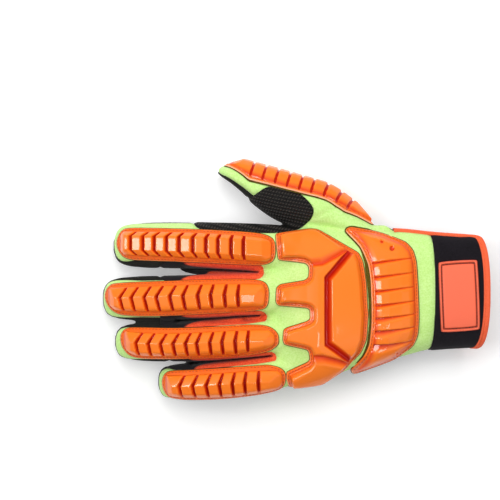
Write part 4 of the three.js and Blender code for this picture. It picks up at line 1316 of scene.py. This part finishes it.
# %% Knuckle guard
KNUCKLE = plan(
    [
        (275.3, 235.7), (276.6, 234), (309.8, 229), (318, 229.9), (346.2, 246.4), (357.8, 253),
        (362, 261.4), (365.3, 282.9), (366.5, 307.8), (367.2, 313.8), (365.6, 339.3), (360, 352),
        (352, 360), (344, 369.6), (323.4, 384), (288.3, 386.8), (285.9, 377.6), (286.4, 371.2),
        (307.4, 361.6), (309.8, 358.4), (308.2, 348.9),
        (284.3, 344), (282.7, 339.3), (283.5, 329.7),
        (286.7, 327.3), (306.6, 321), (309.8, 318.6), (309.8, 309.8), (307.4, 307.4), (277.9, 305),
        (275.5, 301), (276.3, 287.5), (280.3, 284.3), (305, 280.3), (308.2, 277), (308.9, 270),
        (308, 265.5), (304.8, 263), (279, 259.7), (277.8, 258),
    ]
)
CHANNEL = plan([(352, 247.5), (325.4, 277.8), (325.4, 343), (356, 364)])
VALLEYS = [
    plan([(348, 250.5), (322, 264.5), (305, 266)]),
    plan([(352, 361.5), (322, 354.5), (303, 354)]),
]
NOTHING = 99  # a height above everything
KNUCKLE_RAISE = 6.0


def along_path(points, path):
    """Signed distance to an open path, positive to its left."""
    best = np.full(len(points), 1e9)
    signed = np.zeros(len(points))
    for a, b in zip(path[:-1], path[1:]):
        step = b - a
        share = np.clip(((points - a) @ step) / (step @ step), 0, 1)
        away = points - a - share[:, None] * step
        gap = np.linalg.norm(away, axis=1)
        side = np.sign(step[0] * away[:, 1] - step[1] * away[:, 0])
        closer = gap < best - 1e-9
        best, signed = np.where(closer, gap, best), np.where(closer, side * gap, signed)
    return signed


def valley_slopes(p):
    """Height in the two valleys: steep towards the channel, a broad slope up to the outer lobe that
    narrows from 6.5 mm to 2.2 mm towards the wrist."""
    broad = 2.2 + 4.3 * np.clip((5.4 - p[:, 0]) / 20, 0, 1)
    lowest = KNUCKLE_RAISE + 0.6
    for path, lobe_side in zip(VALLEYS, (-1, 1)):
        side = along_path(p, path) * lobe_side
        slope = np.where(side > 0, (side - 0.3) / broad, (-side - 0.3) / 2.4)
        lowest = np.minimum(lowest, 2.9 + (KNUCKLE_RAISE - 2.3) * np.clip(slope, 0, 1))
    return lowest


def knuckle_relief(p):
    """Block inside a flange; the channel's outer wall is steep, the plate's side slopes gently."""
    rim = inside(p, knuckle_outline)
    side = along_path(p, CHANNEL)
    block = rise(rim, 2.5, 3.1, FLANGE, FLANGE + 2.4)
    block = block + rise(rim, 3.1, 5.0, 0, KNUCKLE_RAISE - FLANGE - 2.4)
    plate = rise(side, 0.9, 4.3, 2.0, KNUCKLE_RAISE)
    ridge = rise(-side, 0.3, 1.2, 2.0, KNUCKLE_RAISE + 0.4) - rise(-side, 1.6, 12.0, 0, 1.3)
    channel = np.where(side > 0, plate, ridge)
    valley = valley_slopes(p)
    raised_part = block > FLANGE
    cuts = [np.where(raised_part, each, NOTHING) for each in (channel, valley)]
    height = np.minimum.reduce([block, *cuts])
    height = height + rise(-p[:, 0], 4, 44, 0, 3.2) * rise(block, FLANGE, FLANGE + 2.4, 0, 1)
    height = rounded_rim(height, rim)
    # Depth is painted shade: at the channel's bottom, in the valleys and at the walls' feet.
    bottom = np.where(side > 0, rise(side, 1.6, 4.4, 1, 0), rise(-side, 0.5, 1.2, 1, 0))
    deep = np.maximum(bottom, 0.5 * rise(valley, 3.0, 5.2, 1, 0)) * (block > FLANGE + 0.2)
    return height, painted_rim_light(p, knuckle_outline, rim, np.maximum(foot_shade(block), deep))


knuckle_outline = softened(KNUCKLE, 2, 0.12)
guard_outlines["knuckle"] = knuckle_outline
knuckle_kinks = [
    (lambda p: inside(p, knuckle_outline), (RIM_ROUND, 2.5, 3.1, 5.0)),
    (lambda p: along_path(p, CHANNEL), (-1.6, -1.2, -0.3, 0.9, 4.3)),
    *((lambda p, v=v: along_path(p, v), (-2.7, -0.3, 0.3, 2.7)) for v in VALLEYS),
]
raised("knuckle_guard", knuckle_outline, GUARD_MAPS["knuckle"], knuckle_relief, knuckle_kinks)

# %% Wrist guard
WRIST = plan(
    [
        (345, 231.5), (347, 228.2), (351, 227), (379.4, 232.9),
        (405, 242.3), (412, 250.5), (415.2, 262),
        (416.7, 288), (417.6, 318), (416.8, 334), (412.5, 345),
        (393.5, 359.6), (353.7, 374.6), (350, 369),
        (363, 356), (368.6, 344), (370.6, 322), (370.4, 300),
        (369.6, 280), (367.4, 264), (360, 247),
    ]
)
WRIST_GROOVES = plan([(0, py) for py in (261.2, 275.1, 289.0, 302.9, 315.6, 328.1, 340.9)])[:, 1]
WEDGES = np.array([1.0, 1.1, 1.3, 1.9, 3.2, 3.8, 4.2])  # width of each groove's slope at its left
DIMPLES = [  # place and radius
    (plan([(380.6, 244.2)])[0], 1.4),
    (plan([(390.5, 250.3)])[0], 1.9),
    (plan([(395.5, 349.8)])[0], 1.2),
]
WRIST_RAISE = 5.2


def groove_line(p):
    """y of a point, less the grooves' slope of 1 in 8.5."""
    return p[:, 1] - (p[:, 0] - 36.0) / 8.5


def wrist_relief(p):
    """Grooves: a steep wall on the thumb side and a slope that narrows towards the cuff. The block
    rises in three steps from its rim: a wall, a steep facet and a gentle one."""
    rim = inside(p, wrist_outline)
    block = rise(rim, 2.4, 3.0, FLANGE, FLANGE + 1.2) + rise(rim, 3.0, 6.4, 0, 1.7)
    block = block + rise(rim, 6.4, 11.6, 0, WRIST_RAISE - FLANGE - 2.9)
    offset = groove_line(p)[:, None] - WRIST_GROOVES[None]
    share = (1 - np.clip((p[:, 0] - 28) / 21, 0, 1))[:, None]
    wedge = np.where(offset > 0, offset / 0.6, -offset / (0.6 + WEDGES * share))
    wedge = np.clip(wedge, 0, 1)
    deepest = 1.2 + 1.1 * share
    groove = np.where(wedge < 1, block[:, None] - deepest * (1 - wedge), NOTHING).min(1)
    ends = (p[:, 1] > WRIST_GROOVES[0] + 3) | (p[:, 1] < WRIST_GROOVES[-1] - 6)
    groove = np.where(ends | (block <= FLANGE + 0.9), NOTHING, groove)
    brim = WRIST_RAISE + 1
    hollow = [
        rise(np.linalg.norm(p - c, axis=1), r - 0.6, r, WRIST_RAISE - 2.6, brim) for c, r in DIMPLES
    ]
    height = np.minimum.reduce([block, groove, *hollow])
    height = rounded_rim(height, rim)
    sunk = np.clip((block - height) / 2.3, 0, 1)
    shade = 0.75 * rise(sunk, 0.2, 1.0, 0, 1) * (block > FLANGE + 0.2)
    depth = np.maximum(foot_shade(block), shade)
    return height, painted_rim_light(p, wrist_outline, rim, depth)


wrist_outline = softened(WRIST, 2, 0.15)
guard_outlines["wrist"] = wrist_outline
wrist_kinks = [
    (lambda p: inside(p, wrist_outline), (RIM_ROUND, 2.4, 3.0, 6.4, 11.6)),
    (groove_line, [y + s for y in WRIST_GROOVES for s in (0.6, 0.0, -0.6)]),
    *((lambda p, c=c: np.linalg.norm(p - c, axis=1), (r - 0.6, r)) for c, r in DIMPLES),
]
raised("wrist_guard", wrist_outline, GUARD_MAPS["wrist"], wrist_relief, wrist_kinks)
print("plates: knuckle_guard, wrist_guard")

# %% [markdown]
# ## Label and binding
#
# The label is a thin rubber patch with a raised rim, left bare. The binding is a tape folded over
# the cuff's edge. Its path runs along the upper lip of the vent on the thumb side, round the cuff's
# end and back along the lower lip, and one closed profile is swept along it.


# %% Label
LABEL = plan([(436.5, 261.9), (476.3, 259.4), (479.2, 329.2), (439.4, 332)])
LABEL_GROOVE = 2.15  # from the rim to the middle of the groove


def label_relief(p):
    """A rim 1.5 mm wide, a groove inside it that holds the stitches, and a flat field. Depth is
    painted shade in the groove and on the outer edge.
    """
    rim = inside(p, label_outline)
    height = 1.7 + rise(rim, 0.0, 0.5, -0.9, 0)
    height = height - rise(rim, 1.5, 1.8, 0, 1.0) + rise(rim, 2.5, 2.9, 0, 0.7)
    groove = np.clip(1.3 - np.abs(rim - LABEL_GROOVE) / 0.6, 0, 1)
    return height, np.maximum(groove, rise(rim, 0.1, 0.7, 0.9, 0))


cut_corners = [LABEL[i] + 0.035 * (LABEL[[i - 1, (i + 1) % 4]] - LABEL[i]) for i in range(4)]
label_outline = softened(np.concatenate(cut_corners), 2)
label_kinks = [(lambda p: inside(p, label_outline), (0.5, 1.5, 1.8, 2.5, 2.9))]
raised("label_patch", label_outline, label_map, label_relief, label_kinks, "label", step=0.7)


# %% Binding tape
def section_point(x, angle):
    """Point on the palm tube's section at x and angle."""
    s = smooth_table(PALM, x)
    a, u = superellipse(angle, s["across"], s["up"], s["top"], s["base"])
    return np.column_stack((s["x"] + s["lean"] * u / s["up"], s["y"] + a, s["z"] + u))


def evenly(path, spacing, closed=False):
    """The same path with points spacing apart."""
    if closed:
        path = np.concatenate((path, path[:1]))
    run = np.concatenate(([0], np.cumsum(np.linalg.norm(np.diff(path, axis=0), axis=1))))
    count = max(int(run[-1] / spacing), 3)
    at = np.linspace(0, run[-1], count + 1)
    at = at[:-1] if closed else at
    return np.column_stack([np.interp(at, run, path[:, axis]) for axis in range(path.shape[1])])


def swept_profile(path, outward, profile, widen):
    """Closed tube: profile points (across the tape, out of the tape) along a path, the first ones
    multiplied by a factor for each point of the path."""
    tangent = np.gradient(path, axis=0)
    tangent /= np.linalg.norm(tangent, axis=1)[:, None]
    out = outward - (outward * tangent).sum(1)[:, None] * tangent
    out /= np.linalg.norm(out, axis=1)[:, None]
    side = np.cross(tangent, out)
    across = widen[:, None, None] * profile[None, :, :1]
    rings = path[:, None] + across * side[:, None] + profile[None, :, 1:] * out[:, None]
    points = np.concatenate((rings.reshape(-1, 3), path[:1], path[-1:]))
    return points, tube_faces(len(path), len(profile))


TAPE_WIDTH, TAPE_HALF = 4.6, 1.35
lip_x = np.linspace(36.5, 88.5, 80)
lip_open = 0.035 + 0.05 * np.clip((lip_x - VENT_X) / VENT_LENGTH, 0, 1)
corner = np.linspace(0, 1, 12)[1:-1]
end_angle = np.linspace(lip_open[-1] + 0.12, 2 * math.pi - lip_open[-1] - 0.12, 240)
upper = section_point(lip_x, lip_open + 0.085)
round_end = section_point(np.full(len(end_angle), CUFF_END[0]), end_angle)
lower = section_point(lip_x[::-1], -lip_open[::-1] - 0.02)
tape_path = evenly(np.concatenate((upper, round_end, lower)), 1.2)
for _ in range(6):
    tape_path[1:-1] = 0.5 * tape_path[1:-1] + 0.25 * (tape_path[:-2] + tape_path[2:])
core = smooth_table(PALM, tape_path[:, 0])
off_y, off_z = tape_path[:, 1] - core["y"], tape_path[:, 2] - core["z"]
tape_out = np.column_stack((np.zeros(len(tape_path)), off_y, off_z))
tape_out /= np.linalg.norm(tape_out, axis=1)[:, None]
angle = np.linspace(0, 2 * math.pi, 36, endpoint=False)
profile_side, profile_out = superellipse(angle, TAPE_WIDTH / 2, TAPE_HALF, 3.2, 3.2)
fold = 0.8 * np.exp(-(((profile_side - 0.6) / 0.45) ** 2)) * (profile_out > 0)
on_upper_lip = np.clip((88 - tape_path[:, 0]) / 6, 0, 1)
on_upper_lip = on_upper_lip * np.clip((tape_path[:, 2] - 21.5) / 1.5, 0, 1)
tape_profile = np.column_stack((profile_side, profile_out - fold))
wider = 1 + 0.55 * on_upper_lip
tape_points, tape_tri = swept_profile(tape_path, tape_out, tape_profile, wider)
dress("cuff_binding", rested(tape_points, 0.1), tape_tri[:, ::-1], "tape", "knit", "cuff_binding")
print("tape path:", len(tape_path), "points")

# %% [markdown]
# ## Grip patches on the palm side
#
# They are second layers sewn on. Each is cut out of the palm panel's own surface, so it fits, and
# is lifted by its thickness with a rounded edge.

# %% Patches
PATCHES = {
    "crotch_patch": plan(
        [
            (211, 229), (246, 229), (252, 250), (262, 320), (262, 383), (233, 386), (236, 366),
            (220, 355), (232, 337), (214, 326), (212, 306),
            (234, 297), (228, 283), (208, 274), (208, 258),
            (232, 250), (228, 243), (211, 240),
        ]
    ),
    "heel_patch": plan(
        [
            (275, 262), (276, 246), (283, 237), (300, 239), (352, 262), (395, 290), (401, 315),
            (398, 335), (380, 349), (340, 352), (300, 330), (279, 300),
        ]
    ),
}
PATCH_TOP = 17.0
TIP_LENGTH, TIP_TOP = 25.0, 6.8
THUMB_TIP_MORE = (9, 2.4)  # longer and higher than a finger's
PATCH_LIFT, PATCH_ROUNDING = 0.75, 0.7
palm_points, palm_tri = panels["palm"]


def patch_from(name, field):
    """Cut a patch out of the palm panel along a field, lift it and round its edge."""
    data = np.column_stack((palm_points, field(palm_points[:, :3])))
    data, tri = cut(data, palm_tri, data.shape[1] - 1)
    data, tri = keep(data, tri, data[tri, -1].mean(1) > 0)
    points, normals = data[:, :3], data[:, 3:6]
    normals = normals / np.linalg.norm(normals, axis=1)[:, None]
    near = distance_to(points, points[np.unique(boundary(tri))])
    out = PATCH_LIFT * np.clip(near / PATCH_ROUNDING, 0, 1) ** 0.5 + 0.12
    outer = rested(points + out[:, None] * normals, 0.05)
    dress(name, *thickened(outer, tri, normals, 0.5), "grip", "grip", name)


def tip_field(table, length, top):
    """Positive on the end of one tube, below top, and close to that tube's own skin."""

    def field(p):
        own = 0.35 - np.abs(tube_frame(table, p)[0] - 1)
        return np.minimum.reduce([table[0, 0] + length - p[:, 0], top - p[:, 2], 8 * own])

    return field


for name, outline in PATCHES.items():
    shape = softened(outline, 2)
    patch_from(name, lambda p, o=shape: np.minimum(inside(p, o), PATCH_TOP - p[:, 2]))
for name, table in TABLES.items():
    if name == "palm":
        continue
    more_length, more_top = THUMB_TIP_MORE if name == "thumb" else (0, 0)
    field = tip_field(table, TIP_LENGTH + more_length, TIP_TOP + more_top)
    patch_from(name + "_tip_patch", field)
print("patches: 7")

# %% [markdown]
# ## Stitches
#
# A lockstitch shows as short, slightly raised threads with small gaps. Each is a capsule with six
# sides, laid along a path on the surface. All stitches of one seam are joined into one mesh.


# %% Stitches
def stitches(name, centres, along, up, look, length=1.7, radius=0.24):
    """One capsule per centre: rings of six points, narrow at both ends, lying along its vector."""
    along = along / np.linalg.norm(along, axis=1)[:, None]
    up = up - (up * along).sum(1)[:, None] * along
    up /= np.linalg.norm(up, axis=1)[:, None]
    side = np.cross(along, up)
    place = np.array([-0.5, -0.3, 0.3, 0.5]) * length
    width = np.array([0.35, 1.0, 1.0, 0.35]) * radius
    angle = np.linspace(0, 2 * math.pi, 6, endpoint=False)
    ring = (
        place[None, :, None, None] * along[:, None, None]
        + (width[:, None] * np.cos(angle))[None, ..., None] * side[:, None, None]
        + (width[:, None] * np.sin(angle))[None, ..., None] * up[:, None, None]
    )
    points = (centres[:, None, None] + ring).reshape(-1, 3)
    j = np.arange(6)
    k = (j + 1) % 6
    quads = [np.stack((r * 6 + j, r * 6 + k, (r + 1) * 6 + k), 1) for r in range(3)]
    quads += [np.stack((r * 6 + j, (r + 1) * 6 + k, (r + 1) * 6 + j), 1) for r in range(3)]
    fan = np.stack((np.zeros(4, int), np.arange(2, 6), np.arange(1, 5)), 1)
    one = np.concatenate((*quads, fan, (fan + 18)[:, ::-1]))
    faces = (one[None] + 24 * np.arange(len(centres))[:, None, None]).reshape(-1, 3)
    return dress(name, points, faces, look)


def plan_stitches(name, surface, path, height, look, pitch=2.3, closed=False, **size):
    """Stitches along a path in the plan, set on a height map at the given height."""
    places = evenly(path, pitch, closed)
    ahead = np.roll(places, -1, 0) - np.roll(places, 1, 0)
    if not closed:
        ahead = np.gradient(places, axis=0)
    ahead /= np.linalg.norm(ahead, axis=1)[:, None]
    mid = lifted(surface, places, np.full(len(places), height))
    tip = lifted(surface, places + 0.5 * ahead, np.full(len(places), height))
    above = lifted(surface, places, np.full(len(places), height + 1))
    return stitches(name, mid, tip - mid, above - mid, look, **size)


def inset(outline, distance):
    """A closed outline moved inward: each point shifts along the mean normal of its two edges."""
    ahead = np.roll(outline, -1, 0) - outline
    ahead = ahead / np.maximum(np.linalg.norm(ahead, axis=1)[:, None], 1e-9)
    mean = ahead + np.roll(ahead, 1, 0)
    mean /= np.maximum(np.linalg.norm(mean, axis=1)[:, None], 1e-9)
    normal = np.column_stack((-mean[:, 1], mean[:, 0]))
    x, y = outline.T
    area = (x * np.roll(y, -1) - y * np.roll(x, -1)).sum()
    moved = outline + np.sign(area) * np.asarray(distance)[..., None] * normal
    least = np.min(distance)
    return moved[inside(moved, outline) > least * (0.75 if least > 0 else 1.3)]


# Painted shadow: dark sheets just outside each guard's outline, where its rim stands off the
# fabric.
SHADOW_SHEET_OUT = {"thumb": 0.8, "wrist": 0.5}
OTHER_SHADOW_SHEET_OUT = 0.4
SHADOW_SHEET_HEIGHT = 0.45


def flat_shadow_sheet(p):
    """Relief of the painted shadow sheet: one height everywhere, and no depth."""
    return np.full(len(p), SHADOW_SHEET_HEIGHT), np.zeros(len(p))


def shadow_sheet_edge(name, outline):
    """Edge of the painted shadow sheet: the guard's outline moved outward; under the wrist guard's
    finger side up to 3.2 mm more.
    """
    path = evenly(outline, 0.8, True)
    out = np.full(len(path), SHADOW_SHEET_OUT.get(name, OTHER_SHADOW_SHEET_OUT))
    if name == "wrist":
        facing = np.clip((22 - path[:, 0]) / 3, 0, 1) * np.clip((path[:, 1] + 46) / 40, 0, 1)
        out += 3.2 * facing * np.clip((38 - path[:, 1]) / 24, 0.15, 1)
    return inset(path, -out)


for name, outline in guard_outlines.items():
    surface, edge = GUARD_MAPS.get(name, rubber_map), shadow_sheet_edge(name, outline)
    raised(name + "_guard_backing", edge, surface, flat_shadow_sheet, [], "painted_shadow", False, 0.9, -0.5)
    line = inset(evenly(outline, 0.8, True), 1.25)
    above = FLANGE + 0.02
    plan_stitches(name + "_guard_stitches", surface, line, above, "orange_thread", closed=True)
label_line = inset(evenly(label_outline, 0.8, True), LABEL_GROOVE)
plan_stitches("label_stitches", label_map, label_line, 0.85, "dark_thread", 2.2, True, radius=0.2)
print("stitched guards:", len(guard_outlines))

# %% [markdown]
# ## Light, floor and camera
#
# The photograph is a packshot: a white table that burns out to pure white, a large soft light, a
# soft box on the fingertip side that leaves square highlights, and a faint shadow under the glove.
# The camera looks straight down through a long lens.

# %% Stage
scene = bpy.context.scene
scene.view_settings.view_transform = "Standard"
scene.view_settings.look = "None"
world = bpy.data.worlds.new("studio")
scene.world = world
world.use_nodes = True
world.node_tree.nodes["Background"].inputs["Color"].default_value = (1, 1, 1, 1)
world.node_tree.nodes["Background"].inputs["Strength"].default_value = 0.23

TABLE_HALF_MM = 3e3
corners = TABLE_HALF_MM * np.array([(-1, -1, 0), (1, -1, 0), (1, 1, 0), (-1, 1, 0)])
floor_mesh = mesh_from("table", corners, np.array([[0, 1, 2], [0, 2, 3]]))
floor_material, floor_tree, floor_shader, _ = finish("white_table", roughness=0.9, specular=0.1)
floor_shader.inputs["Base Color"].default_value = (0.85, 0.85, 0.85, 1)
floor_shader.inputs["Emission Color"].default_value = (1, 1, 1, 1)
floor_shader.inputs["Emission Strength"].default_value = 0.26
floor_mesh.materials.append(floor_material)
floor = show(floor_mesh)
floor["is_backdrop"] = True


def area_light(name, place_mm, target_mm, size_mm, power):
    """A square or oblong soft box that looks at a target."""
    data = bpy.data.lights.new(name, "AREA")
    data.shape, data.size, data.size_y = "RECTANGLE", size_mm[0] * MM, size_mm[1] * MM
    data.energy = power
    lamp = bpy.data.objects.new(name, data)
    scene.collection.objects.link(lamp)
    lamp.location = Vector(place_mm) * MM
    aim = Vector(target_mm) * MM - lamp.location
    lamp.rotation_euler = aim.to_track_quat("-Z", "Y").to_euler()
    return lamp


LIGHTS = {  # place, target and size in mm, power in W, and which rays see it: the rubber mirrors
    # only the small boxes, whose square highlights show in the photograph
    "overhead_soft_box": ((60, 700, 1000), (-40, 0, 0), (1300, 900), 11.5, "diffuse"),
    "side_soft_box": ((-640, 45, 1000), (-120, 35, 20), (700, 600), 5.6, "diffuse"),
    "fill": ((520, -420, 900), (0, 0, 0), (800, 800), 1.4, "both"),
    "middle_block_mirror_box": ((-45, -300, 1000), (-57, 3, 30), (138, 200), 1.0, "glossy"),
    "fingertip_mirror_box": ((-760, 12, 790), (-120, 35, 20), (210, 900), 10.0, "glossy"),
}
for name, (place, target, size, power, seen_by) in LIGHTS.items():
    lamp = area_light(name, place, target, size, power)
    lamp.visible_glossy = seen_by != "diffuse"
    lamp.visible_diffuse = seen_by != "glossy"

camera_data = bpy.data.cameras.new("camera")
camera_data.lens, camera_data.sensor_width = 200, 36
camera = bpy.data.objects.new("camera", camera_data)
scene.collection.objects.link(camera)
camera.location = (-0.0612, 0.034, 1.914)
camera.rotation_euler = (0, 0, 0)
scene.camera = camera

# %% Sizes and triangle counts of the shown pieces, with the CAD's box beside them
low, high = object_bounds()
sizes = {"cad": [list(cad_low), list(cad_high)], "visual": [list(low), list(high)]}
print("sides, mm:", [round((h - l) * 1000, 1) for l, h in zip(low, high)])
triangles = [len(o.data.polygons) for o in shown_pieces() if o.type == "MESH"]
print("pieces", len(triangles), "largest", max(triangles), "all", sum(triangles))
